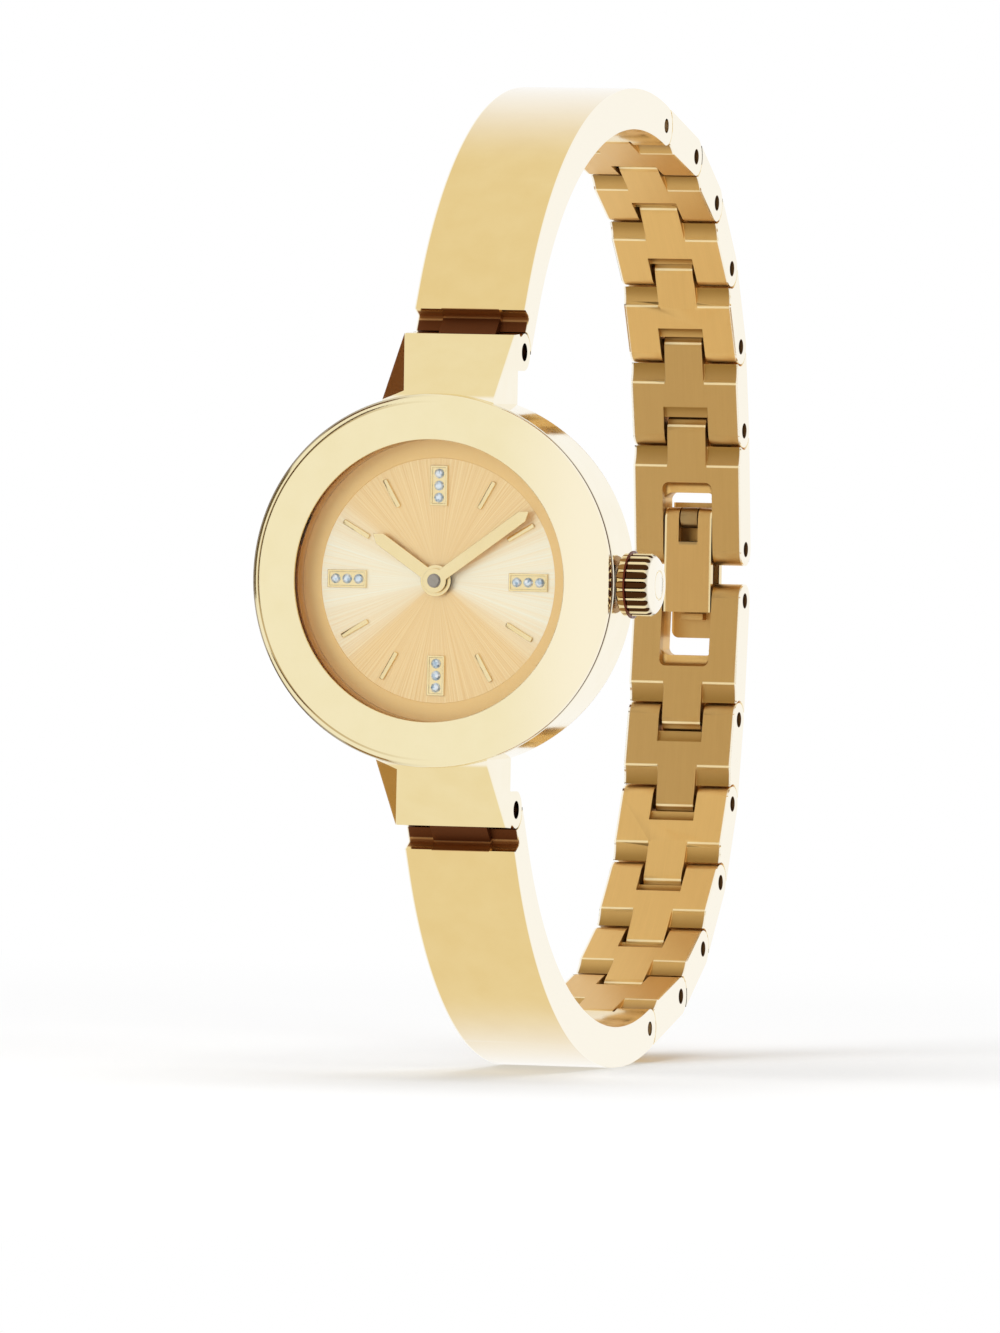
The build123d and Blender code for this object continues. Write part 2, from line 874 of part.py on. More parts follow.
def make_clasp_blade():
    """Inner plate: an eye on the blade pin below, a notched eye for the cover above."""
    inner = -clasp_knuckle_radius
    plate = flat(clasp_point(inner, -clasp_pin_height), clasp_point(-blade_outer, blade_top))
    blade_pin = clasp_point(0, -clasp_pin_height)
    hinge = cover_pin_place()
    foot = disc(blade_pin, blade_bottom_radius)
    foot += flat(clasp_point(inner, -clasp_pin_height - blade_bottom_radius), clasp_point(0, -clasp_pin_height))
    head = disc(hinge, cover_eye_radius)
    body = slab(plate + foot + head, clasp_part_width)
    notch_low = clasp_point(2 * inner, blade_top + cover_eye_radius - notch_height)
    notch_high = clasp_point(cover_inner, blade_top + 2 * cover_eye_radius)
    body -= slab(flat(notch_low, notch_high), cover_tab_width + 2 * cover_tab_gap)
    body -= rod(blade_pin, pin_radius + running_gap, clasp_part_width)
    body -= rod(hinge, cover_pin_radius, clasp_part_width)
    return body


def make_clasp_cover():
    """Outer plate with a hinge tab at the top and a latch rib near the free end."""
    outer = cover_inner + cover_thickness
    plate = flat(clasp_point(cover_inner, -cover_bottom), clasp_point(outer, blade_top + cover_top))
    body = slab(plate, clasp_part_width)
    corners = body.edges().filter_by(Axis.Y).sort_by(Axis.Z)[:2]
    body = fillet(corners, cover_end_round)
    hinge = cover_pin_place()
    arm = flat(clasp_point(-cover_eye_inset, blade_top - cover_eye_radius / 2),
               clasp_point(cover_inner, blade_top + cover_eye_radius))
    tab = slab(disc(hinge, cover_eye_radius) + arm, cover_tab_width)
    rib_top = -clasp_pin_height - blade_bottom_radius - latch_gap
    rib = flat(clasp_point(cover_inner - latch_reach, rib_top - latch_thickness),
               clasp_point(cover_inner, rib_top))
    body += tab
    body += slab(rib, latch_width)
    return body - rod(hinge, cover_pin_radius + running_gap, cover_tab_width)


# all nodes

def flipped(solid):
    """The same piece on the lower half."""
    return mirror(solid, about=Plane.XY)


def bracelet_parts():
    """Both halves of the bracelet, clasp included, by node name."""
    places = pin_places()
    radii = knuckle_radii()
    upper = {"bangle": make_bangle()}
    for index in range(link_count):
        number = link_count - index
        near = index + 1
        slot = tongue_width + 2 * side_gap
        link = make_link(places[near], radii[near], places[near + 1], radii[near + 1], slot)
        upper["link_%d" % number] = link
        upper["link_%d_pin" % number] = make_pin(places[near], pin_radius, band_width)
    upper["clasp_link"] = make_clasp_link()
    upper["bangle_pin"] = make_pin(places[-1], pin_radius, band_width)
    upper["lug_pin"] = make_pin(lug_pin_place(), lug_pin_radius, lug_width)
    parts = {}
    for name, solid in upper.items():
        parts["upper_" + name] = solid
        parts["lower_" + name] = flipped(solid)
    parts["catch_bar"] = make_pin(places[0], pin_radius, band_width)
    parts["blade_pin"] = flipped(parts["catch_bar"])
    parts["clasp_blade"] = make_clasp_blade()
    parts["clasp_cover"] = make_clasp_cover()
    parts["cover_pin"] = rod(cover_pin_place(), cover_pin_radius, clasp_part_width)
    return parts


def watch_parts():
    """The watch head, by node name."""
    return {
        "case_middle": make_case_middle(),
        "bezel": make_bezel(),
        "crystal": make_crystal(),
        "crystal_gasket": make_crystal_gasket(),
        "inner_ring": make_inner_ring(),
        "dial": make_dial(),
        "dial_markers": make_dial_markers(),
        "marker_stones": make_marker_stones(),
        "case_back": make_case_back(),
        "case_back_gasket": make_case_back_gasket(),
        "movement_holder": make_movement_holder(),
        "movement": make_movement(),
        "battery": make_battery(),
        "coil": make_coil(),
        "setting_lever": make_setting_lever(),
        "crown_tube": make_crown_tube(),
        "crown": make_crown(),
        "stem": make_stem(),
        "crown_gasket": make_crown_gasket(),
        "hour_hand": make_hour_hand(),
        "hour_tube": make_hour_tube(),
        "minute_hand": make_minute_hand(),
        "minute_arbor": make_minute_arbor(),
    }


os.makedirs("parts", exist_ok=True)
for name, solid in {**watch_parts(), **bracelet_parts()}.items():
    export_step(solid, "parts/" + name + ".step")
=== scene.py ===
import json
from math import atan2, cos, pi, radians, sin, sqrt

import bpy
from mathutils import Matrix, Vector


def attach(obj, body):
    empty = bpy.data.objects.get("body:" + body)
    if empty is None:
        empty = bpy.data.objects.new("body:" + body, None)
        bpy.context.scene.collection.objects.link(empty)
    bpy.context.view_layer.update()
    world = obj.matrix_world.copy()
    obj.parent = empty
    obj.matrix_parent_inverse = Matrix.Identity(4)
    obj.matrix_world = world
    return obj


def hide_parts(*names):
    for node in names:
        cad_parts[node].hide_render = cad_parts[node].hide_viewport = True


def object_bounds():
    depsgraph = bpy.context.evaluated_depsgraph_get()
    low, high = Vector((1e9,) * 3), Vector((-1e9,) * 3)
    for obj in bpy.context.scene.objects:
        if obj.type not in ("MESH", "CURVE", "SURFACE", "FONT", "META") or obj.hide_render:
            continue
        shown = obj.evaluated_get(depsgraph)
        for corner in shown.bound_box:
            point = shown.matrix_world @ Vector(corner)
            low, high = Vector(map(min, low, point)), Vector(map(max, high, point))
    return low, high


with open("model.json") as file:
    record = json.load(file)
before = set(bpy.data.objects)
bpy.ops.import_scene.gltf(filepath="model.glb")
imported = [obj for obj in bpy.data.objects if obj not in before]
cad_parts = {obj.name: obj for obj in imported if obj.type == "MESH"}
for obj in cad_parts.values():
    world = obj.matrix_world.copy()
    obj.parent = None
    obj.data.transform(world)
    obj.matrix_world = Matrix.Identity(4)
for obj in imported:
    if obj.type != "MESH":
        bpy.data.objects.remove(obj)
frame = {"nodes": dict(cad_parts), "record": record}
cad_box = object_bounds()

# sizes of the watch in metres, repeated from the part's own values
MM = 0.001
CASE_DEPTH = 7.4 * MM
CASE_RADIUS = 12.5 * MM
BEZEL_SEAM = 1.4 * MM
BEZEL_FLAT = 11.75 * MM
BEZEL_GROOVE = 0.3 * MM
SKIRT_RADIUS = 10.9 * MM
APERTURE = 9.43 * MM
SEAT_RADIUS = 10.0 * MM
CRYSTAL_LIP = 0.25 * MM
CRYSTAL_THICK = 0.7 * MM
CRYSTAL_RADIUS = 9.85 * MM
DIAL_DEPTH = 2.1 * MM
DIAL_THICK = 0.4 * MM
DIAL_RADIUS = 10.3 * MM
DISC_RADIUS = 8.2 * MM
DISC_STEP = 0.06 * MM
DIAL_HOLE = 0.95 * MM
BACK_THICK = 0.7 * MM
BACK_RADIUS = 11.7 * MM
BACK_STEP = 0.55 * MM
BORE_RADIUS = 10.35 * MM

CROWN_RADIUS = 2.1 * MM
CROWN_HEIGHT = 2.3 * MM
CROWN_DEPTH = 3.55 * MM
CROWN_START = 12.72 * MM
CROWN_DOME = 0.6 * MM
CROWN_LIP = 0.12 * MM
CROWN_BULGE = (0.42 * MM, 1.8 * MM)
CROWN_RING = (0.42 * MM, 0.12 * MM, 2.26 * MM)
CROWN_DISC = 0.9 * MM
CROWN_GROOVE = 0.12 * MM
CROWN_FLUTES = 20
FLUTE_RADIUS = 0.27 * MM
FLUTE_SINK = 0.04 * MM
FLUTE_START = 0.3 * MM
FLUTE_PAST = 0.05 * MM
FLUTE_TAPER = 1.9
CROWN_CAVITY = 1.3 * MM
CAVITY_DEPTH = 1.5 * MM

LUG_WIDTH = 7.8 * MM
LUG_PIN = (8.1 * MM, 15.35 * MM)
LUG_PIN_RADIUS = 0.6 * MM
LUG_KNUCKLE = 1.25 * MM
LUG_TONGUE = 4.0 * MM
LUG_LIP = (6.0 * MM, 16.5 * MM)
LUG_LIP_FLAT = 0.9 * MM
LUG_LIP_RISE = 0.05 * MM
LUG_ROOT = 10.6 * MM
LUG_TOP = 12.65 * MM
FLANK_INSET = 1.5 * MM
FLANK_DROP = 0.65 * MM
LUG_REACH = 6.2 * MM

BAND_WIDTH = 7.8 * MM
BAND_GAP = 0.15 * MM
SIDE_GAP = 0.2 * MM
TONGUE_WIDTH = 2.8 * MM
PIN_RADIUS = 0.5 * MM
LINK_EDGE = 0.16 * MM
SHOULDER_COVE = (-1.1 * MM, 2.0 * MM, 2.4 * MM)
TONGUE_COVE = (1.2 * MM, 0.6 * MM, 1.0 * MM)
SLOT_COVE = (0.9 * MM, 1.2 * MM, 1.575 * MM)
WINDOW_CORNER = 0.45 * MM
WINDOW_COVE = (0.35 * MM, 0.75 * MM)
BANGLE_LEAN = 28
BANGLE_STRAIGHT = 4.0 * MM
BANGLE_ROOT_THICK = 2.6 * MM
BANGLE_THICK = 2.9 * MM
BANGLE_NOTCH = (2.5 * MM, 1.0 * MM)
BANGLE_NECK = 0.8 * MM
BANGLE_END_LEAN = 106
BANGLE_SLOT = 3.2 * MM
LINK_COUNT = 5
END_KNUCKLE = 1.35 * MM
CLASP_KNUCKLE = 1.15 * MM
CLASP_DEPTH = 60.7 * MM
CLASP_PIN_HEIGHT = 1.8 * MM
LINK_STEPS = [(6.2, 8.37), (11.5, 6.0), (25.0, 6.0), (41.0, 6.0), (58.5, 6.0), (74.5, 7.5)]

WINDOW_WIDTH = 3.6 * MM
WINDOW_END = 5.7 * MM
CLASP_WIDTH = 3.4 * MM
BLADE_OUTER = 0.6 * MM
BLADE_TOP = 3.95 * MM
BLADE_FOOT = 0.85 * MM
EYE_RADIUS = 0.72 * MM
EYE_INSET = 0.4 * MM
COVER_PIN = 0.3 * MM
TAB_WIDTH = 1.2 * MM
TAB_GAP = 0.1 * MM
COVER_INNER = 0.95 * MM
COVER_THICK = 0.6 * MM
COVER_TOP = 1.05 * MM
COVER_BOTTOM = 4.5 * MM
LATCH_WIDTH = 1.6 * MM
LATCH_THICK = 0.45 * MM
LATCH_REACH = 0.85 * MM
LATCH_GAP = 0.12 * MM
NOTCH_HEIGHT = 2.4 * MM

HAND_THICK = 0.15 * MM
HAND_TIP = 0.6 * MM
HOUR_HAND = (5.4 * MM, 0.85 * MM, 1.05 * MM, 1.55 * MM, 304.5)
HOUR_BORE = 0.75 * MM
MINUTE_HAND = (8.1 * MM, 0.8 * MM, 0.82 * MM, 1.22 * MM, 54)
MINUTE_BORE = 0.45 * MM

MARKER_COUNT = 12
MARKER_HEIGHT = 0.22 * MM
MARKER_OUTER = 7.7 * MM
BATON = (2.1 * MM, 0.34 * MM)
STONE_FRAME = (2.7 * MM, 1.2 * MM)
FRAME_RIM = 0.14 * MM
STONE_COUNT = 3
STONE_RADIUS = 0.38 * MM
STONE_HEIGHT = 0.2 * MM

ROUND_STEPS = 192
PIN_SIDES = 48
CUT_OVERRUN = 2.0


# modelling

def deselect():
    bpy.ops.object.select_all(action="DESELECT")


def pick(piece):
    """Make a piece the only selected and active one."""
    deselect()
    piece.select_set(True)
    bpy.context.view_layer.objects.active = piece


def settle(piece):
    """Put a piece's place, turn and size into its mesh."""
    pick(piece)
    bpy.ops.object.transform_apply(location=True, rotation=True, scale=True)
    return piece


def named(name):
    """Name the newest primitive and settle it."""
    piece = bpy.context.object
    piece.name = name
    return settle(piece)


def behind(depth):
    """Y of a place that lies this far behind the bezel's front face."""
    return depth - CASE_DEPTH


def edit_all(piece):
    pick(piece)
    bpy.ops.object.mode_set(mode="EDIT")
    bpy.ops.mesh.select_all(action="SELECT")


def leave_edit():
    bpy.ops.object.mode_set(mode="OBJECT")


def outline(name, points):
    """A closed flat wire through points in space, drawn from a circle primitive."""
    deselect()
    bpy.ops.mesh.primitive_circle_add(vertices=len(points), radius=MM, fill_type="NOTHING")
    piece = named(name)
    for vertex, place in zip(piece.data.vertices, points):
        vertex.co = place
    return piece


def lathe(name, points, axis="Y", steps=ROUND_STEPS, centre_depth=CASE_DEPTH):
    """Spin a closed outline of (radius, along) points about the case or crown axis."""
    if axis == "Y":
        places = [(radius, along, 0) for radius, along in points]
        centre = (0, 0, 0)
        way = (0, 1, 0)
    else:
        places = [(along, behind(centre_depth), radius) for radius, along in points]
        centre = (0, behind(centre_depth), 0)
        way = (1, 0, 0)
    piece = outline(name, places)
    edit_all(piece)
    bpy.ops.mesh.spin(steps=steps, angle=2 * pi, center=centre, axis=way)
    bpy.ops.mesh.select_all(action="SELECT")
    bpy.ops.mesh.remove_doubles(threshold=MM / 1000)
    bpy.ops.mesh.dissolve_degenerate(threshold=MM / 1000)
    bpy.ops.mesh.normals_make_consistent(inside=False)
    leave_edit()
    return piece


def side_prism(name, points, width):
    """A closed side-view outline of (Y, Z) points, drawn out to a width along X."""
    piece = outline(name, [(-width / 2, y, z) for y, z in points])
    edit_all(piece)
    bpy.ops.mesh.edge_face_add()
    bpy.ops.mesh.extrude_region_move(TRANSFORM_OT_translate={"value": (width, 0, 0)})
    bpy.ops.mesh.select_all(action="SELECT")
    bpy.ops.mesh.normals_make_consistent(inside=False)
    leave_edit()
    return piece


def rod(name, place, radius, width, sides=PIN_SIDES):
    """A cylinder along X through a place in the side view."""
    deselect()
    y, z = place
    bpy.ops.mesh.primitive_cylinder_add(
        vertices=sides, radius=radius, depth=width, location=(0, y, z), rotation=(0, pi / 2, 0))
    return named(name)


def block(name, centre, size):
    deselect()
    bpy.ops.mesh.primitive_cube_add(size=1, location=centre)
    bpy.context.object.scale = size
    return named(name)


def apply_modifier(piece, kind, **settings):
    pick(piece)
    modifier = piece.modifiers.new(kind.title(), kind)
    for key, value in settings.items():
        setattr(modifier, key, value)
    bpy.ops.object.modifier_apply(modifier=modifier.name)
    return piece


def remove(piece):
    bpy.data.objects.remove(piece, do_unlink=True)


def carve(piece, cutter, operation="DIFFERENCE"):
    apply_modifier(piece, "BOOLEAN", operation=operation, object=cutter, solver="EXACT")
    remove(cutter)
    return piece


def weld_on(piece, other):
    return carve(piece, other, "UNION")


def clean(piece):
    """Dissolve the flat joints that boolean cuts leave."""
    edit_all(piece)
    bpy.ops.mesh.remove_doubles(threshold=MM / 2000)
    bpy.ops.mesh.dissolve_limited(angle_limit=radians(0.5))
    leave_edit()
    return piece


def soften(piece, width, segments=3, angle=32):
    """Round the sharp edges a little and shade the rest smooth."""
    apply_modifier(
        piece, "BEVEL", width=width, segments=segments, limit_method="ANGLE",
        angle_limit=radians(angle), use_clamp_overlap=True)
    pick(piece)
    bpy.ops.object.shade_smooth_by_angle(angle=radians(angle))
    return piece


def capsule(name, start, start_radius, end, end_radius, width):
    """Two cylinders along X and the hull round them."""
    piece = rod(name, start, start_radius, width)
    other = rod(name + "_end", end, end_radius, width)
    pick(piece)
    other.select_set(True)
    bpy.ops.object.join()
    edit_all(piece)
    bpy.ops.mesh.convex_hull()
    bpy.ops.mesh.dissolve_limited(angle_limit=radians(0.2))
    leave_edit()
    return piece


def lower_copy(piece, name):
    """The same piece on the lower half, as a mesh of its own."""
    pick(piece)
    bpy.ops.object.duplicate(linked=False)
    twin = bpy.context.object
    twin.name = name
    twin.scale = (1, 1, -1)
    settle(twin)
    edit_all(twin)
    bpy.ops.mesh.normals_make_consistent(inside=False)
    leave_edit()
    return twin


# places of the bracelet in the side view, as (Y, Z)

def heading(angle):
    return Vector((sin(radians(angle)), cos(radians(angle))))


def left_of(way):
    return Vector((-way.y, way.x))


def pin_places():
    places = [Vector((behind(CLASP_DEPTH), CLASP_PIN_HEIGHT))]
    for lean, pitch in LINK_STEPS:
        places.append(places[-1] + heading(-lean) * pitch * MM)
    return places


PINS = pin_places()
GROWTH = (END_KNUCKLE - CLASP_KNUCKLE) / (LINK_COUNT + 1)
KNUCKLES = [CLASP_KNUCKLE + GROWTH * index for index in range(LINK_COUNT + 2)]
LUG_PLACE = Vector((behind(LUG_PIN[0]), LUG_PIN[1]))


def two_arcs(start, start_way, end, end_way):
    """Where two tangent arcs meet between two ends, and the heading there."""
    run = end - start
    both = start_way + end_way
    spread = 2 * (1 - start_way.dot(end_way))
    reach = (sqrt(run.dot(both) ** 2 + spread * run.dot(run)) - run.dot(both)) / spread
    first = start + start_way * reach
    second = end - end_way * reach
    return (first + second) / 2, (second - first).normalized()


def arc_of(start, way, end):
    """Centre and sweep of the arc that leaves start along way and reaches end."""
    run = end - start
    right = -left_of(way)
    radius = run.dot(run) / (2 * run.dot(right))
    centre = start + right * radius
    chord_turn = atan2(run.dot(right), run.dot(way))
    return centre, 2 * chord_turn


def arc_through(start, middle, stop, steps):
    """Places along the arc from start to stop that passes through middle."""
    first = middle - start
    second = stop - start
    double_area = 2 * (first.x * second.y - first.y * second.x)
    out_x = (second.y * first.dot(first) - first.y * second.dot(second)) / double_area
    out_y = (first.x * second.dot(second) - second.x * first.dot(first)) / double_area
    centre = start + Vector((out_x, out_y))
    from_angle = atan2(start.y - centre.y, start.x - centre.x)
    sweep = (stop - centre).angle_signed(start - centre)
    radius = (start - centre).length
    places = []
    for step in range(steps + 1):
        angle = from_angle + sweep * step / steps
        places.append(centre + Vector((cos(angle), sin(angle))) * radius)
    return places


def cove_reach(cove):
    """Where a cove's rim lies, past its pin: on the near side of a far pin's cove."""
    past, lift, radius = cove
    return past - sqrt(radius * radius - lift * lift)


# shader maths

class Wire:
    """A shader socket that can be used in sums."""

    def __init__(self, tree, socket):
        self.tree = tree
        self.socket = socket

    def math(self, operation, *others):
        node = self.tree.nodes.new("ShaderNodeMath")
        node.operation = operation
        for index, value in enumerate((self,) + others):
            feed(self.tree, node.inputs[index], value)
        return Wire(self.tree, node.outputs[0])

    def __add__(self, other):
        return self.math("ADD", other)

    __radd__ = __add__

    def __mul__(self, other):
        return self.math("MULTIPLY", other)

    __rmul__ = __mul__

    def __sub__(self, other):
        return self.math("SUBTRACT", other)

    def __rsub__(self, other):
        return self.math("MULTIPLY", -1).math("ADD", other)

    def __pow__(self, other):
        return self.math("POWER", other)

    def __abs__(self):
        return self.math("ABSOLUTE")


def feed(tree, socket, value):
    if isinstance(value, Wire):
        tree.links.new(value.socket, socket)
    else:
        socket.default_value = value


def set_stops(ramp, stops):
    """Give a colour ramp its (place, colour) stops."""
    while len(ramp.elements) < len(stops):
        ramp.elements.new(0.5)
    for element, (share, colour) in zip(ramp.elements, stops):
        element.position = share
        element.color = (*colour, 1)


class Graph:
    """The shader nodes of a material or of the room."""

    def __init__(self, tree):
        self.tree = tree

    def node(self, kind, settings=None, sockets=None, out=0):
        """Add a node: its settings first, then the values or links of its sockets."""
        made = self.tree.nodes.new(kind)
        for key, value in (settings or {}).items():
            if key == "stops":
                set_stops(made.color_ramp, value)
            else:
                setattr(made, key, value)
        for key, value in (sockets or {}).items():
            feed(self.tree, made.inputs[key], value)
        return Wire(self.tree, made.outputs[out])

    def sight(self):
        """1 for rays from the camera, a reflection or a glass, 0 for light on the object."""
        seen = self.node("ShaderNodeLightPath", out="Is Camera Ray")
        mirrored = self.node("ShaderNodeLightPath", out="Is Glossy Ray")
        through = self.node("ShaderNodeLightPath", out="Is Transmission Ray")
        return (seen + mirrored + through).math("MINIMUM", 1)


class Finish(Graph):
    """A material under construction."""

    def __init__(self, name):
        self.material = bpy.data.materials.new(name)
        self.material.use_nodes = True
        super().__init__(self.material.node_tree)
        self.shader = self.tree.nodes["Principled BSDF"]
        self.output = self.tree.nodes["Material Output"]

    def place(self, stretch=(1, 1, 1)):
        """Object coordinates in millimetres, stretched to draw a pattern out."""
        where = self.node("ShaderNodeTexCoord", out="Object")
        scale = tuple(share / MM for share in stretch)
        return self.node("ShaderNodeMapping", {"vector_type": "POINT"}, {"Vector": where, "Scale": scale})

    def axis(self, name):
        """One of the X, Y and Z places, in millimetres."""
        return self.node("ShaderNodeSeparateXYZ", sockets={"Vector": self.place()}, out=name)

    def noise(self, where, scale, detail=3.0, roughness=0.5):
        values = {"Vector": where, "Scale": scale, "Detail": detail, "Roughness": roughness}
        return self.node("ShaderNodeTexNoise", sockets=values, out="Fac")

    def blend(self, share, first, second):
        values = {0: share}
        for key, colour in ((6, first), (7, second)):
            values[key] = colour if isinstance(colour, Wire) else (*colour, 1)
        return self.node("ShaderNodeMix", {"data_type": "RGBA"}, values, 2)

    def between(self, value, low, high):
        """0 below low, 1 above high and a smooth step in the middle."""
        values = {"Value": value, "From Min": low, "From Max": high}
        return self.node("ShaderNodeMapRange", {"interpolation_type": "SMOOTHSTEP"}, values)

    def bump(self, height, strength, distance):
        values = {"Height": height, "Strength": strength, "Distance": distance}
        return self.node("ShaderNodeBump", sockets=values)

    def set(self, values):
        for key, value in values.items():
            feed(self.tree, self.shader.inputs[key], value)

    def noted(self, name):
        """A number that the piece's mesh carries under this name."""
        return self.node("ShaderNodeAttribute", {"attribute_name": name}, out="Fac")

    def side_share(self, half_width, bevel=0.12):
        """1 on the flat side faces of a band this wide, 0 on its faces."""
        return self.between(abs(self.axis("X")), half_width / MM - bevel, half_width / MM - bevel + 0.08)


def polish(finish, colour, roughness, waviness=0.02):
    """Polished plating: faint waves, fine hairlines and a slightly uneven gloss."""
    spots = finish.noise(finish.place(), 0.6, 4.0)
    hairs = finish.noise(finish.place((9, 0.5, 0.5)), 1.5, 2.0)
    cross = finish.noise(finish.place((0.6, 0.6, 7)), 1.3, 2.0)
    gloss = roughness + (spots - 0.5) * 0.05 + (hairs - 0.5) * 0.03 + (cross - 0.5) * 0.03
    height = spots * 0.6 + hairs * 0.2 + cross * 0.2
    finish.set({
        "Base Color": colour,
        "Metallic": 1.0,
        "Roughness": gloss.math("MAXIMUM", 0.02),
        "Normal": finish.bump(height, waviness, 0.1 * MM),
    })
    return finish.material


def polished_metal(name, pale, deep, roughness, waviness=0.02):
    finish = Finish(name)
    spots = finish.noise(finish.place(), 0.5, 3.0)
    return polish(finish, finish.blend(spots, deep, pale), roughness, waviness)


def seam_share(finish):
    """1 in the groove where the bezel meets the case, 0 on the open faces."""
    back = abs(finish.axis("Y") - behind(BEZEL_SEAM) / MM)
    flat = finish.node("ShaderNodeVectorMath", {"operation": "MULTIPLY"}, {0: finish.place(), 1: (1, 0, 1)})
    radius = finish.node("ShaderNodeVectorMath", {"operation": "LENGTH"}, {0: flat}, "Value")
    inside = 1 - finish.between(radius, CASE_RADIUS / MM - 0.1, CASE_RADIUS / MM - 0.02)
    return inside * (1 - finish.between(back, 0.12, 0.2))


def bezel_metal(name):
    """Polished bezel: pale gold with a painted highlight to the right, painted dark reflections at its left rim, and
    painted shade where it meets the case.
    """
    finish = Finish(name)
    spots = finish.noise(finish.place(), 0.5, 3.0)
    face = finish.blend(spots, (0.87, 0.76, 0.46), (0.91, 0.81, 0.53))
    # painted highlight: the bezel turns paler towards the right
    glow = finish.between(finish.axis("X"), 4, 11.5)
    face = finish.blend(glow, face, (0.96, 0.87, 0.65))
    flat = finish.node("ShaderNodeVectorMath", {"operation": "MULTIPLY"}, {0: finish.place(), 1: (1, 0, 1)})
    radius = finish.node("ShaderNodeVectorMath", {"operation": "LENGTH"}, {0: flat}, "Value")
    # painted reflection: a dark band at the outer rim and a dark line near the flat's edge, on the left side only
    left = 1 - finish.between(finish.axis("X"), -8, 1)
    rim = finish.between(radius, 12.22, 12.34)
    line = 1 - finish.between(abs(radius - 11.95), 0.04, 0.09)
    face = finish.blend(rim * left, face, (0.28, 0.21, 0.11))
    face = finish.blend(line * left, face, (0.55, 0.40, 0.18))
    return polish(finish, finish.blend(seam_share(finish), face, HOLLOW_SHADE_BROWN), 0.12)


def case_metal(name):
    """Polished case: sides painted pale cream as a highlight, the sloping lug fronts deeper gold, and painted shade
    in the pin holes and the bezel groove.
    """
    finish = Finish(name)
    spots = finish.noise(finish.place(), 0.5, 3.0)
    out = abs(finish.axis("Z"))
    # painted light by facing: the sloping lug fronts are painted deeper gold than the cream sides
    front = finish.between(out, 12.15, 12.45) * (1 - finish.side_share(LUG_WIDTH / 2))
    side = finish.blend(spots, (0.93, 0.85, 0.66), (0.97, 0.91, 0.76))
    slope = finish.blend(spots, (0.82, 0.66, 0.33), (0.87, 0.73, 0.41))
    back = finish.axis("Y") - LUG_PLACE.x / MM
    up = out - LUG_PLACE.y / MM
    # painted shade in the lug pin holes
    hole = 1 - finish.between((back * back + up * up) ** 0.5, LUG_PIN_RADIUS / MM, LUG_PIN_RADIUS / MM + 0.03)
    gold = finish.blend(hole, finish.blend(front, side, slope), HOLLOW_SHADE_BROWN)
    return polish(finish, finish.blend(seam_share(finish), gold, HOLLOW_SHADE_BROWN), 0.08)


def bangle_metal(name):
    """Polished bangle: sides painted pale as a highlight, painted paler near the top and bottom of the loop, and
    painted shade in the groove at its root.
    """
    finish = Finish(name)
    spots = finish.noise(finish.place(), 0.4, 3.0)
    back = finish.axis("Y") - LUG_PLACE.x / MM
    up = abs(finish.axis("Z")) - LUG_PLACE.y / MM
    out = heading(BANGLE_LEAN)
    along = back * out.x + up * out.y
    lift = up * out.x - back * out.y
    # painted shade: the groove at the root, with the tongue and neck beside it, is painted dark brown, with a painted
    # pale line and a brown band towards its far end
    floor = (BANGLE_ROOT_THICK / 2 - BANGLE_NOTCH[1]) / MM
    low = 1 - finish.between(lift, floor + 0.5, floor + 0.8)
    reach = BANGLE_NOTCH[0] / MM
    near = 1 - finish.between(along, reach + 0.02, reach + 0.08)
    sides = finish.side_share(BAND_WIDTH / 2)
    neck = 1 - finish.between(abs(finish.axis("X")), LUG_TONGUE / 2 / MM, LUG_TONGUE / 2 / MM + 0.05)
    groove = low.math("MAXIMUM", neck) * near * (1 - sides)
    dark = (0.13, 0.04, 0.012)
    stops = [(0.0, dark), (0.84, dark), (0.88, (0.62, 0.36, 0.14)), (0.93, (0.34, 0.15, 0.045))]
    groove_shade_tone = finish.node("ShaderNodeValToRGB", {"stops": stops}, {"Fac": along * (1 / reach)})
    face = finish.blend(spots, (0.77, 0.565, 0.235), (0.83, 0.645, 0.31))
    # painted reflection: the bangle turns pale, near white, towards the top and bottom of the loop
    bend = finish.between(abs(finish.axis("Z")), 28, 35)
    face = finish.blend(bend, face, (0.95, 0.90, 0.80))
    # painted highlight: the polished sides are painted pale cream
    colour = finish.blend(sides, face, (0.96, 0.90, 0.76))
    return polish(finish, finish.blend(groove, colour, groove_shade_tone), 0.12 + groove * 0.4)


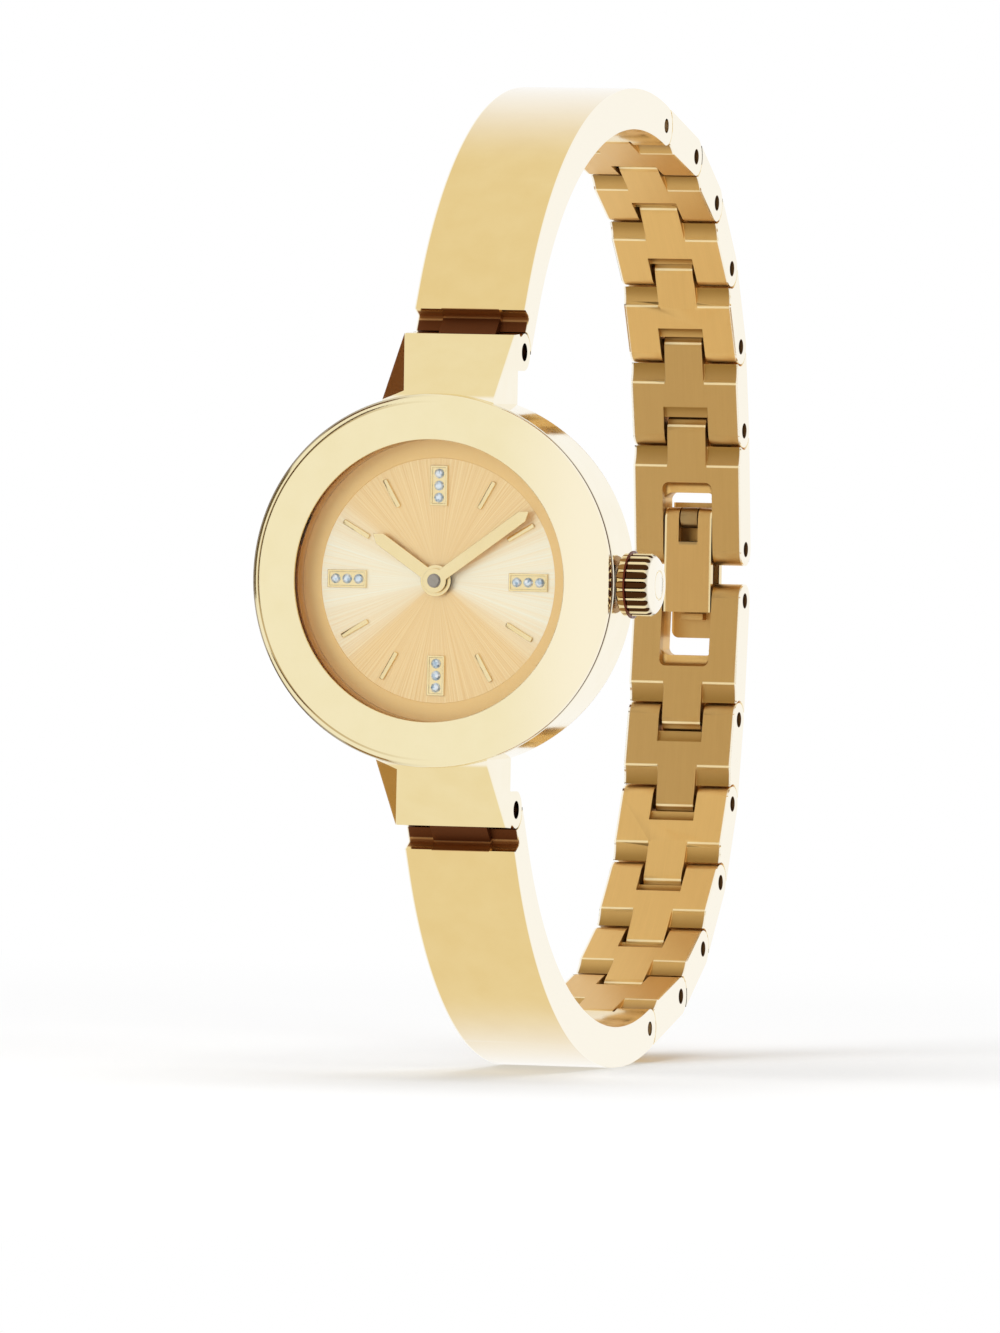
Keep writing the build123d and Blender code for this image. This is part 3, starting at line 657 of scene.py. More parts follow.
def crown_metal(name):
    """Polished crown: pale ridges, a dome painted paler as a highlight, and painted shade in the flutes and on the
    ring.
    """
    finish = Finish(name)
    back = finish.axis("Y") - behind(CROWN_DEPTH) / MM
    up = finish.axis("Z")
    radius = (back * back + up * up) ** 0.5
    along = finish.axis("X")
    rim = (CROWN_START + CROWN_HEIGHT - CROWN_DOME) / MM
    past = ((along - rim) * (MM / CROWN_DOME)).math("MAXIMUM", 0)
    surface = CROWN_RADIUS / MM - past ** 2 * 0.45 - past ** 6 * 0.63
    deep = finish.between(surface - radius, 0.03, 0.1)
    barrel = 1 - finish.between(past, 0.65, 0.8)
    spots = finish.noise(finish.place(), 0.8, 3.0)
    pale = finish.blend(spots, (0.84, 0.68, 0.36), (0.90, 0.76, 0.46))
    # painted highlight: the dome is painted paler, near white
    pale = finish.blend(finish.between(past, 0.1, 0.7), pale, (0.97, 0.92, 0.80))
    # painted shade: the flutes are painted dark gold, near black behind the ring
    ring = (CROWN_START + CROWN_RING[0] + CROWN_RING[1] / 2) / MM
    behind_ring = 1 - finish.between(along, ring - 0.1, ring - 0.05)
    flute = finish.blend(behind_ring, (0.06, 0.022, 0.006), (0.30, 0.15, 0.04))
    fluted = finish.blend(deep * barrel, pale, flute)
    # painted shade: the ring next to the case is painted near black
    on_ring = 1 - finish.between(abs(along - ring), 0.07, 0.1)
    return polish(finish, finish.blend(on_ring, fluted, (0.12, 0.025, 0.012)), 0.12)


def cove_shade_shares(finish):
    """How much painted shade a place in a link's coves gets, more towards the ear and near the slot's edge, and how
    near it lies to the rims at its tongue end, where a painted highlight goes.
    """
    aside = abs(finish.axis("X"))
    past_near = finish.noted("past_near")
    past_far = finish.noted("past_far")
    inner = finish.between(finish.noted("lift"), 0.3, 0.4)
    tongue = 1 - finish.between(aside, TONGUE_WIDTH / 2 / MM, TONGUE_WIDTH / 2 / MM + 0.05)
    slot_half = (TONGUE_WIDTH / 2 + SIDE_GAP) / MM
    slot = 1 - finish.between(aside, slot_half, slot_half + 0.05)
    tip = cove_reach(TONGUE_COVE) / MM
    shoulder = cove_reach(SHOULDER_COVE) / MM
    past = past_far - (tongue * tip + (1 - tongue) * shoulder)
    past_lift, past_radius = SLOT_COVE[1:]
    slot_rim = (SLOT_COVE[0] + sqrt(past_radius ** 2 - past_lift ** 2)) / MM
    before = slot_rim - past_near
    far_cove = finish.between(past, 0.03, 0.1) * (0.3 + 0.7 * finish.between(past, 0, 1.3))
    near_cove = finish.between(before, 0.03, 0.1) * slot * (1 - 0.6 * finish.between(before, 0, 1))
    rim = 1 - finish.between(abs(past), 0.05, 0.1)
    return far_cove.math("MAXIMUM", near_cove) * inner, rim * inner


def pin_share(finish, past_name):
    """1 in the bore of one of a link's pins, 0 away from it."""
    past = finish.noted(past_name)
    lift = finish.noted("lift")
    marked = (abs(past) + abs(lift)).math("GREATER_THAN", 0)
    reach = PIN_RADIUS / MM
    return (1 - finish.between((past * past + lift * lift) ** 0.5, reach + 0.03, reach + 0.06)) * marked


def near_clasp_shade_share(finish):
    """1 on the inner faces of the links next to the clasp, where painted shade darkens them, 0 elsewhere."""
    inner = finish.between(finish.noted("lift"), 0.3, 0.6)
    return inner * (1 - finish.between(finish.noted("height"), 11, 15))


def tab_shade_share(finish):
    """1 on the cover's tab in the blade's notch, where painted shade darkens it, 0 elsewhere."""
    aside = finish.between(abs(finish.axis("X")), TAB_WIDTH / 2 / MM, (TAB_WIDTH / 2 + TAB_GAP) / MM)
    above = finish.between(finish.axis("Z"), 2.0, 2.2)
    inside = 1 - finish.between(finish.axis("Y") - behind(CLASP_DEPTH) / MM, 0, 0.3)
    return (1 - aside) * above * inside


def banded_metal(name, pale, deep, side, half_width, grain, shaded, shade):
    """Faces brushed along the band, with polished sides painted paler as a highlight. The shaded share is painted
    darker, as shade; the coves and pin bores get painted shade and the cove rims painted highlights.
    """
    finish = Finish(name)
    lines = finish.noise(finish.place((14, 0.12, 0.12)), 2.0, 5.0, 0.65)
    broad = finish.noise(finish.place((2.5, 0.2, 0.2)), 1.0, 2.0)
    spots = finish.noise(finish.place(), 0.7, 3.0)
    sides = finish.side_share(half_width, 0.17)
    brushed = finish.blend(lines * 0.7 + broad * 0.3, deep, pale)
    tint = {0: shaded(finish), 6: brushed, 7: (*shade, 1)}
    brushed = finish.node("ShaderNodeMix", {"data_type": "RGBA", "blend_type": "MULTIPLY"}, tint, 2)
    # painted shade in the coves, and painted highlight lines along their rims
    cove_shade, rim = cove_shade_shares(finish)
    brushed = finish.blend(cove_shade, brushed, (0.36, 0.20, 0.05))
    brushed = finish.blend(rim, brushed, (0.97, 0.80, 0.46))
    # painted shade in the pin bores
    pin_bore_shade = pin_share(finish, "past_near").math("MAXIMUM", pin_share(finish, "past_far"))
    sides = sides * (1 - pin_bore_shade)
    brushed = finish.blend(pin_bore_shade, brushed, (0.12, 0.06, 0.02))
    brushed_gloss = 0.38 + (lines - 0.5) * 0.25
    side_gloss = 0.1 + (spots - 0.5) * 0.05
    height = lines * (1 - sides) + spots * sides * 0.05
    finish.set({
        "Base Color": finish.blend(sides, brushed, side),
        "Metallic": 1.0,
        "Roughness": brushed_gloss * (1 - sides) + side_gloss * sides,
        "Normal": finish.bump(height, grain, 0.02 * MM),
    })
    return finish.material


def dial_metal(name):
    """Champagne dial: fine rays painted paler to the left and right as a highlight and darker tan above and below,
    and a satin outer ring.
    """
    finish = Finish(name)
    where = finish.place()
    flat = finish.node("ShaderNodeVectorMath", {"operation": "MULTIPLY"}, {0: where, 1: (1, 0, 1)})
    radius = finish.node("ShaderNodeVectorMath", {"operation": "LENGTH"}, {0: flat}, "Value")
    way = finish.node("ShaderNodeVectorMath", {"operation": "NORMALIZE"}, {0: flat})
    aside = abs(finish.node("ShaderNodeSeparateXYZ", sockets={"Vector": way}, out="X"))
    rays = finish.noise(way, 80.0, 5.0, 0.65)
    broad = finish.noise(way, 2.2, 2.0)
    satin = finish.noise(where, 6.0, 5.0, 0.7)
    on_ring = radius.math("GREATER_THAN", DISC_RADIUS / MM - 0.02)
    streaks = finish.between(rays, 0.3, 0.7)
    # painted highlight: paler rays to the left and right, darker tan rays above and below
    glow = finish.between(aside + (broad - 0.5) * 0.3, 0.72, 1.02)
    soft = finish.blend(streaks, (0.87, 0.57, 0.25), (1.0, 0.76, 0.41))
    ray_highlight = finish.blend(streaks, (1.0, 0.84, 0.56), (1.0, 0.96, 0.79))
    ring = finish.blend(satin, (0.91, 0.58, 0.22), (0.98, 0.69, 0.31))
    ray_gloss = 0.32 + (rays - 0.5) * 0.2
    ring_gloss = 0.42 + (satin - 0.5) * 0.1
    height = rays * (1 - on_ring) + satin * on_ring * 0.15
    finish.set({
        "Base Color": finish.blend(on_ring, finish.blend(glow, soft, ray_highlight), ring),
        "Metallic": 0.85,
        "Roughness": ray_gloss * (1 - on_ring) + ring_gloss * on_ring,
        "Normal": finish.bump(height, 0.25, 0.05 * MM),
        "Coat Weight": 0.2,
        "Coat Roughness": 0.1,
    })
    return finish.material


def clear_glass(name):
    """Thin polished glass: clear, with a faint gloss that grows at the rim."""
    finish = Finish(name)
    haze = finish.noise(finish.place(), 0.25, 3.0)
    glow = finish.node("ShaderNodeFresnel", sockets={"IOR": 1.35})
    share = (glow * 0.35 + haze * 0.01).math("MINIMUM", 0.6)
    clear = finish.node("ShaderNodeBsdfTransparent", sockets={"Color": (0.985, 0.99, 0.99, 1)})
    gloss_sockets = {"Color": (1, 1, 1, 1), "Roughness": 0.02}
    gloss = finish.node("ShaderNodeBsdfGlossy", {"distribution": "GGX"}, gloss_sockets)
    mixed = finish.node("ShaderNodeMixShader", sockets={0: share, 1: clear, 2: gloss})
    feed(finish.tree, finish.output.inputs["Surface"], mixed)
    return finish.material


def stone_glass(name):
    """Cut stones: pale ice blue with painted glints, light and dark from facet to facet."""
    finish = Finish(name)
    # painted glints: each facet-sized cell is painted from dark blue to white
    facet_glints = finish.node("ShaderNodeTexVoronoi", sockets={"Vector": finish.place(), "Scale": 4.5}, out="Color")
    tone = finish.node("ShaderNodeSeparateColor", sockets={"Color": facet_glints})
    stops = [(0.0, (0.30, 0.42, 0.55)), (0.5, (0.66, 0.78, 0.88)), (1.0, (0.97, 0.98, 1.0))]
    finish.set({
        "Base Color": finish.node("ShaderNodeValToRGB", {"stops": stops}, {"Fac": tone}),
        "Metallic": 0.35,
        "Roughness": 0.05 + tone * 0.1,
        "Normal": finish.bump(tone, 0.5, 0.03 * MM),
        "IOR": 1.8,
    })
    return finish.material


def moulded(name, colour, roughness, grain=0.1):
    """Moulded plastic or rubber with a fine grain."""
    finish = Finish(name)
    grains = finish.noise(finish.place(), 9.0, 3.0)
    darker = tuple(channel * 0.8 for channel in colour)
    finish.set({
        "Base Color": finish.blend(grains, darker, colour),
        "Roughness": roughness + (grains - 0.5) * 0.15,
        "Normal": finish.bump(grains, grain, 0.02 * MM),
    })
    return finish.material


# painted highlight: the pale cream of the links' polished sides
SIDE_SHEEN_CREAM = (0.96, 0.90, 0.76)
# painted shade for the groove where the bezel meets the case and for the lug pin holes
HOLLOW_SHADE_BROWN = (0.10, 0.05, 0.02)
CASE_GOLD = case_metal("case polished gold")
BEZEL_GOLD = bezel_metal("bezel polished gold")
BANGLE_GOLD = bangle_metal("bangle polished gold")
CROWN_GOLD = crown_metal("crown polished gold")
# painted shade: the chapter wall inside the bezel is painted dark brown gold
INNER_GOLD = polished_metal("inner ring gold", (0.52, 0.28, 0.10), (0.38, 0.19, 0.06), 0.2)
HAND_GOLD = polished_metal("hand polished gold", (0.95, 0.79, 0.46), (0.90, 0.72, 0.38), 0.25)
MARKER_GOLD = polished_metal("marker polished gold", (0.95, 0.80, 0.48), (0.86, 0.66, 0.32), 0.15)
# painted shade darkens the inner faces of the links next to the clasp
LINK_GOLD = banded_metal(
    "link brushed gold", (0.85, 0.55, 0.20), (0.69, 0.43, 0.145), SIDE_SHEEN_CREAM, BAND_WIDTH / 2, 0.3,
    near_clasp_shade_share, (0.74, 0.72, 0.71))
# painted shade darkens and greys the cover's tab in the blade's notch
CLASP_GOLD = banded_metal(
    "clasp brushed gold", (0.70, 0.44, 0.16), (0.55, 0.33, 0.11), (0.85, 0.68, 0.38), CLASP_WIDTH / 2, 0.3,
    tab_shade_share, (0.62, 0.66, 0.78))
# painted shade: the pin ends, set back in their holes, are painted near black
PIN_GOLD = polished_metal("pin ends", (0.13, 0.07, 0.03), (0.08, 0.04, 0.02), 0.35)
STEEL = polished_metal("turned steel", (0.6, 0.6, 0.6), (0.4, 0.4, 0.4), 0.3)
ARBOR_STEEL = polished_metal("hand arbor steel", (0.42, 0.38, 0.33), (0.28, 0.24, 0.2), 0.25)
COPPER = polished_metal("coil wire", (0.75, 0.35, 0.15), (0.5, 0.2, 0.08), 0.3, 0.2)
DIAL_GOLD = dial_metal("champagne dial")
GLASS = clear_glass("watch glass")
STONE = stone_glass("cut stones")
RUBBER = moulded("black rubber", (0.03, 0.03, 0.03), 0.6)
NYLON = moulded("nylon seal", (0.85, 0.83, 0.78), 0.4)
HOLDER = moulded("holder plastic", (0.8, 0.8, 0.75), 0.45)
MODULE = moulded("module plastic", (0.12, 0.12, 0.13), 0.35)

SLOT_FINISH = {
    "case_gold": CASE_GOLD,
    "bezel_gold": BEZEL_GOLD,
    "sapphire_glass": GLASS,
    "clear_gasket": NYLON,
    "inner_ring_gold": INNER_GOLD,
    "dial_champagne": DIAL_GOLD,
    "marker_gold": MARKER_GOLD,
    "pale_stone": STONE,
    "black_rubber": RUBBER,
    "holder_plastic": HOLDER,
    "movement_plate": MODULE,
    "cell_steel": STEEL,
    "coil_copper": COPPER,
    "plain_steel": STEEL,
    "crown_gold": CROWN_GOLD,
    "hand_gold": HAND_GOLD,
    "arbor_steel": ARBOR_STEEL,
    "clasp_gold": CLASP_GOLD,
    "link_gold": LINK_GOLD,
    "bangle_gold": BANGLE_GOLD,
    "pin_gold": PIN_GOLD,
}


def dress(piece, slot_name):
    piece.data.materials.clear()
    piece.data.materials.append(SLOT_FINISH[slot_name])


def dress_cad_nodes():
    for part in frame["record"]["subparts"]:
        dress(frame["nodes"][part["node"]], part["material_slot"])


def fit(piece, node, body, slot_name):
    """Finish a new piece: its material, the node it stands for and the body it rides on."""
    apply_modifier(piece, "WEIGHTED_NORMAL", keep_sharp=True)
    dress(piece, slot_name)
    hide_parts(node)
    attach(piece, body)
    return piece


# the watch head

def make_bezel():
    front = behind(0)
    seam = behind(BEZEL_SEAM)
    corner = CASE_RADIUS - BEZEL_FLAT
    points = [
        (CASE_RADIUS - BEZEL_GROOVE, seam),
        (SKIRT_RADIUS, seam),
        (SKIRT_RADIUS, behind(DIAL_DEPTH)),
        (SEAT_RADIUS, behind(DIAL_DEPTH)),
        (SEAT_RADIUS, front + CRYSTAL_LIP),
        (APERTURE, front + CRYSTAL_LIP),
        (APERTURE, front),
    ]
    arc_steps = 10
    for step in range(arc_steps + 1):
        turn = radians(90 * step / arc_steps)
        points.append((BEZEL_FLAT + corner * sin(turn), front + corner * (1 - cos(turn))))
    points.append((CASE_RADIUS, seam - BEZEL_GROOVE))
    piece = lathe("bezel_ring", points)
    return soften(piece, 0.06 * MM)


def side_outline_of_lug():
    pin = LUG_PLACE
    back = behind(CASE_DEPTH - BACK_THICK)
    lip = Vector((behind(LUG_LIP[0]), LUG_LIP[1]))
    shoulder = pin + heading(-45) * LUG_KNUCKLE
    return [
        (behind(BEZEL_SEAM), LUG_ROOT),
        (behind(BEZEL_SEAM), LUG_TOP),
        tuple(lip),
        (lip.x + LUG_LIP_FLAT, lip.y + LUG_LIP_RISE),
        tuple(shoulder),
        tuple(pin),
        (pin.x, pin.y - LUG_KNUCKLE),
        (back, pin.y - LUG_KNUCKLE),
        (back, LUG_ROOT),
    ]


def flank_cutter(side):
    """A thick plate that lies on the slanted flank along one front edge of the upper lug."""
    half = side * LUG_WIDTH / 2
    lip = Vector((half, behind(LUG_LIP[0]), LUG_LIP[1]))
    inner = Vector((half - side * FLANK_INSET, behind(BEZEL_SEAM), LUG_TOP))
    outer = Vector((half, behind(BEZEL_SEAM) + FLANK_DROP, LUG_TOP))
    along = (inner - lip).normalized()
    outwards = ((inner - lip).cross(outer - lip) * side).normalized()
    deselect()
    bpy.ops.mesh.primitive_plane_add(size=2 * LUG_REACH)
    cutter = bpy.context.object
    turn = Matrix((along, outwards.cross(along), outwards)).transposed()
    cutter.matrix_world = Matrix.Translation(lip) @ turn.to_4x4()
    settle(cutter)
    edit_all(cutter)
    bpy.ops.mesh.extrude_region_move(TRANSFORM_OT_translate={"value": outwards * LUG_WIDTH})
    bpy.ops.mesh.select_all(action="SELECT")
    bpy.ops.mesh.normals_make_consistent(inside=False)
    leave_edit()
    return cutter


def make_upper_lug():
    piece = side_prism("upper_lug", side_outline_of_lug(), LUG_WIDTH)
    for side in (1, -1):
        carve(piece, flank_cutter(side))
    weld_on(piece, rod("lug_knuckle", LUG_PLACE, LUG_KNUCKLE, LUG_WIDTH))
    slot_radius = LUG_KNUCKLE + BAND_GAP
    way_out = LUG_PLACE + heading(BANGLE_LEAN) * (2 * slot_radius)
    carve(piece, capsule("lug_slot", LUG_PLACE, slot_radius, way_out, slot_radius, LUG_TONGUE + 2 * SIDE_GAP))
    carve(piece, rod("lug_hole", LUG_PLACE, LUG_PIN_RADIUS, CUT_OVERRUN * LUG_WIDTH))
    return piece


def make_case_middle():
    seam = behind(BEZEL_SEAM)
    back = behind(CASE_DEPTH - BACK_THICK)
    round_edge = 0.6 * MM
    points = [
        (BORE_RADIUS, behind(DIAL_DEPTH)),
        (SKIRT_RADIUS, behind(DIAL_DEPTH)),
        (SKIRT_RADIUS, seam),
        (CASE_RADIUS - BEZEL_GROOVE, seam),
        (CASE_RADIUS, seam + BEZEL_GROOVE / 2),
    ]
    arc_steps = 8
    for step in range(arc_steps + 1):
        turn = radians(90 * step / arc_steps)
        points.append((CASE_RADIUS - round_edge * (1 - cos(turn)), back - round_edge * (1 - sin(turn))))
    points.append((BORE_RADIUS, back))
    piece = lathe("case_body", points)
    upper = make_upper_lug()
    lower = lower_copy(upper, "lower_lug")
    for lug in (upper, lower):
        inner = lathe("case_bore", [
            (0, seam), (SKIRT_RADIUS, seam), (SKIRT_RADIUS, behind(DIAL_DEPTH)),
            (SKIRT_RADIUS, back), (0, back)], steps=96)
        carve(lug, inner)
        weld_on(piece, lug)
    clean(piece)
    return soften(piece, 0.12 * MM, 3, 14)


def make_case_back():
    back = behind(CASE_DEPTH - BACK_THICK)
    outer = behind(CASE_DEPTH)
    edge = 0.3 * MM
    groove = 0.05 * MM
    points = [
        (0, back - BACK_STEP),
        (DIAL_RADIUS, back - BACK_STEP),
        (DIAL_RADIUS, back),
        (BACK_RADIUS, back),
        (BACK_RADIUS, outer - edge),
        (BACK_RADIUS - edge, outer),
        (9.2 * MM, outer),
        (9.1 * MM, outer - groove),
        (8.9 * MM, outer - groove),
        (8.8 * MM, outer),
        (0, outer),
    ]
    piece = lathe("back_plate", points)
    return soften(piece, 0.05 * MM)


def make_crystal():
    near = behind(CRYSTAL_LIP)
    far = near + CRYSTAL_THICK
    edge = 0.12 * MM
    points = [
        (0, near), (CRYSTAL_RADIUS, near), (CRYSTAL_RADIUS, far - edge),
        (CRYSTAL_RADIUS - edge, far), (0, far)]
    return soften(lathe("watch_glass", points), 0.02 * MM)


def make_inner_ring():
    near = behind(CRYSTAL_LIP) + CRYSTAL_THICK
    far = behind(DIAL_DEPTH)
    points = [(APERTURE, near), (SEAT_RADIUS, near), (SEAT_RADIUS, far), (APERTURE, far)]
    return soften(lathe("chapter_wall", points), 0.03 * MM)


def make_dial():
    near = behind(DIAL_DEPTH)
    far = near + DIAL_THICK
    points = [
        (DIAL_HOLE, near + DISC_STEP),
        (DISC_RADIUS, near + DISC_STEP),
        (DISC_RADIUS, near),
        (DIAL_RADIUS, near),
        (DIAL_RADIUS, far),
        (DIAL_HOLE, far),
    ]
    return soften(lathe("dial_plate", points), 0.02 * MM)


def turn_on_dial(piece, angle):
    """Turn clockwise about the case axis, as seen from the front."""
    piece.matrix_world = Matrix.Rotation(radians(angle), 4, "Y")
    return settle(piece)


def bar_on_dial(name, length, width, outer):
    top = behind(DIAL_DEPTH) + DISC_STEP
    centre = (0, top - MARKER_HEIGHT / 2, outer - length / 2)
    return block(name, centre, (width, MARKER_HEIGHT, length))


def join_all(pieces, name):
    pick(pieces[0])
    for piece in pieces:
        piece.select_set(True)
    bpy.ops.object.join()
    whole = bpy.context.object
    whole.name = name
    return whole


def make_markers():
    pieces = []
    for index in range(MARKER_COUNT):
        if index % 3 == 0:
            length, width = STONE_FRAME
            bar = bar_on_dial("marker", length, width, MARKER_OUTER)
            rim = FRAME_RIM
            hollow = bar_on_dial("hollow", length - 2 * rim, width - 2 * rim, MARKER_OUTER - rim)
            hollow.location.y = -MARKER_HEIGHT / 2
            settle(hollow)
            carve(bar, hollow)
            soften(bar, 0.03 * MM)
        else:
            length, width = BATON
            bar = bar_on_dial("marker", length, width, MARKER_OUTER)
            soften(bar, 0.09 * MM, 2)
        pieces.append(turn_on_dial(bar, index * 360 / MARKER_COUNT))
    return join_all(pieces, "applied_markers")


def make_stones():
    """Rows of small stones, each with a table, a crown of facets and a girdle."""
    pieces = []
    length = STONE_FRAME[0] - 2 * FRAME_RIM
    pitch = length / STONE_COUNT
    base = behind(DIAL_DEPTH) + DISC_STEP - MARKER_HEIGHT / 2
    for index in range(0, MARKER_COUNT, 3):
        for row in range(STONE_COUNT):
            up = MARKER_OUTER - FRAME_RIM - pitch * (row + 0.5)
            deselect()
            bpy.ops.mesh.primitive_cone_add(
                vertices=8, radius1=STONE_RADIUS, radius2=STONE_RADIUS * 0.55, depth=STONE_HEIGHT,
                location=(0, base - STONE_HEIGHT / 2, up), rotation=(pi / 2, 0, 0))
            stone = named("stone")
            apply_modifier(stone, "BEVEL", width=0.05 * MM, segments=1, limit_method="ANGLE", angle_limit=radians(20))
            pieces.append(turn_on_dial(stone, index * 360 / MARKER_COUNT))
    return join_all(pieces, "row_stones")


def make_hand(name, length, width, hub_radius, depth, angle, bore):
    """A flat hand with a pointed tip, a round hub and softened edges."""
    near = behind(depth)
    half = width / 2
    points = [(-half, 0), (half, 0), (half, length - HAND_TIP), (0, length), (-half, length - HAND_TIP)]
    piece = outline(name, [(x, near, z) for x, z in points])
    edit_all(piece)
    bpy.ops.mesh.edge_face_add()
    bpy.ops.mesh.extrude_region_move(TRANSFORM_OT_translate={"value": (0, HAND_THICK, 0)})
    bpy.ops.mesh.select_all(action="SELECT")
    bpy.ops.mesh.normals_make_consistent(inside=False)
    leave_edit()
    far = near + HAND_THICK
    hub = lathe("hub", [(0, near), (hub_radius, near), (hub_radius, far), (0, far)], steps=64)
    weld_on(piece, hub)
    eye = lathe("eye", [(0, near - MM), (bore, near - MM), (bore, near + MM), (0, near + MM)], steps=48)
    carve(piece, eye)
    clean(piece)
    soften(piece, 0.045 * MM, 2)
    return turn_on_dial(piece, angle)


def make_crown():
    end = CROWN_START + CROWN_HEIGHT
    rim = end - CROWN_DOME
    dome_edge = CROWN_DISC + CROWN_GROOVE
    points = [
        (0, CROWN_START + CAVITY_DEPTH),
        (CROWN_CAVITY, CROWN_START + CAVITY_DEPTH),
        (CROWN_CAVITY, CROWN_START - CROWN_LIP),
        (CROWN_RADIUS - CROWN_LIP, CROWN_START - CROWN_LIP),
        (CROWN_RADIUS, CROWN_START),
    ]
    start = Vector((rim, CROWN_RADIUS))
    stop = Vector((end, dome_edge))
    through = Vector((rim + CROWN_BULGE[0], CROWN_BULGE[1]))
    arc_steps = 16
    for place in arc_through(start, through, stop, arc_steps):
        points.append((place.y, place.x))
    points += [
        (dome_edge, end - CROWN_GROOVE),
        (CROWN_DISC, end - CROWN_GROOVE),
        (CROWN_DISC, end),
        (0, end),
    ]
    piece = lathe("fluted_crown", points, axis="X", steps=120, centre_depth=CROWN_DEPTH)
    cutters = []
    flute_start = CROWN_START + FLUTE_START
    flute_end = rim + FLUTE_PAST
    for index in range(CROWN_FLUTES):
        turn = 2 * pi * index / CROWN_FLUTES
        lift = CROWN_RADIUS + FLUTE_SINK
        across = behind(CROWN_DEPTH) - lift * sin(turn)
        up = lift * cos(turn)
        deselect()
        bpy.ops.mesh.primitive_uv_sphere_add(
            segments=16, ring_count=12, radius=FLUTE_RADIUS, location=(flute_start, across, up),
            rotation=(0, pi / 2, 0))
        bpy.context.object.scale.z = FLUTE_TAPER
        cutter = named("flute")
        edit_all(cutter)
        bpy.ops.mesh.select_all(action="DESELECT")
        leave_edit()
        for vertex in cutter.data.vertices:
            if vertex.co.x > flute_start + MM / 1000:
                vertex.co.x += flute_end - flute_start
        cutters.append(cutter)
    carve(piece, join_all(cutters, "flutes"))
    ring_start, ring_width, ring_radius = CROWN_RING
    near = CROWN_START + ring_start
    hollow = (CROWN_CAVITY + CROWN_RADIUS) / 2
    ring = lathe("crown_ring", [
        (hollow, near), (ring_radius, near), (ring_radius, near + ring_width),
        (hollow, near + ring_width)], axis="X", steps=120, centre_depth=CROWN_DEPTH)
    weld_on(piece, ring)
    return soften(piece, 0.03 * MM, 2, 35)


# the bracelet

def cove_cutter(pin, way, knuckle, cove, width):
    """A rod that hollows a link's inner face: its place past the pin, its lift and its radius."""
    past, lift, radius = cove
    centre = pin + way * past + left_of(way) * (knuckle + lift)
    return rod("cove_cut", centre, radius, width)


def make_link(name, near, near_radius, far, far_radius):
    """Fork and rounded ears at the clasp end, tongue and concave shoulders at the other."""
    piece = capsule(name, near, near_radius, far, far_radius, BAND_WIDTH)
    wide = CUT_OVERRUN * BAND_WIDTH
    carve(piece, rod("shoulder_cut", far, far_radius + BAND_GAP, wide))
    way = (far - near).normalized()
    carve(piece, cove_cutter(far, way, far_radius, SHOULDER_COVE, wide))
    slot_width = TONGUE_WIDTH + 2 * SIDE_GAP
    carve(piece, rod("slot_cut", near, near_radius + BAND_GAP, slot_width))
    carve(piece, cove_cutter(near, way, near_radius, SLOT_COVE, slot_width))
    soften(piece, LINK_EDGE, 3, 30)
    reach = far + (near - far).normalized() * (2 * far_radius)
    tongue = capsule("tongue", far, far_radius, reach, far_radius, TONGUE_WIDTH)
    carve(tongue, cove_cutter(far, way, far_radius, TONGUE_COVE, wide))
    soften(tongue, 0.12 * MM, 2, 30)
    weld_on(piece, tongue)
    carve(piece, rod("fork_hole", near, PIN_RADIUS, wide))
    carve(piece, rod("tongue_hole", far, PIN_RADIUS + 0.05 * MM, wide))
    return piece


def finish_link(piece):
    clean(piece)
    return soften(piece, 0.05 * MM, 2, 40)


def note(piece, name, values):
    layer = piece.data.attributes.new(name, "FLOAT", "POINT")
    for item, value in zip(layer.data, values):
        item.value = value / MM


def mark_link(piece, near, far):
    """Note each vertex's place past both pins and its lift to the inner face, in millimetres, and the height of the
    near pin, which places the painted shade next to the clasp.
    """
    way = (far - near).normalized()
    inner = left_of(way)
    spots = [Vector((vertex.co.y, vertex.co.z)) for vertex in piece.data.vertices]
    note(piece, "past_near", [(spot - near).dot(way) for spot in spots])
    note(piece, "past_far", [(spot - far).dot(way) for spot in spots])
    note(piece, "lift", [(spot - near).dot(inner) for spot in spots])
    note(piece, "height", [near.y for spot in spots])


def make_window():
    """A cutter for the clasp link's window, with round corners and a hollowed end."""
    window = block("window", (0, behind(CLASP_DEPTH), 0), (WINDOW_WIDTH, 14 * MM, 2 * WINDOW_END))
    round_edges(window, 1, WINDOW_CORNER, WINDOW_END / 2)
    lift, radius = WINDOW_COVE
    end = rod("window_cove", clasp_place(-CLASP_KNUCKLE - lift, WINDOW_END), radius, WINDOW_WIDTH)
    soften(end, WINDOW_CORNER, 6, 30)
    return weld_on(window, end)


def make_clasp_link():
    piece = make_link("upper_clasp_link_body", PINS[0], KNUCKLES[0], PINS[1], KNUCKLES[1])
    carve(piece, make_window())
    finish_link(piece)
    mark_link(piece, PINS[0], PINS[1])
    return piece


def bangle_line():
    """Places along the bangle's middle line: a straight root, then two tangent arcs."""
    out = heading(BANGLE_LEAN)
    bend = LUG_PLACE + out * BANGLE_STRAIGHT
    middle, middle_way = two_arcs(bend, out, PINS[-1], heading(BANGLE_END_LEAN))
    line = [(LUG_PLACE, out)]
    arc_steps = 40
    for start, way, stop in ((bend, out, middle), (middle, middle_way, PINS[-1])):
        centre, sweep = arc_of(start, way, stop)
        for step in range(arc_steps + 1):
            turn = Matrix.Rotation(-sweep * step / arc_steps, 2)
            line.append((centre + turn @ (start - centre), turn @ way))
    return line


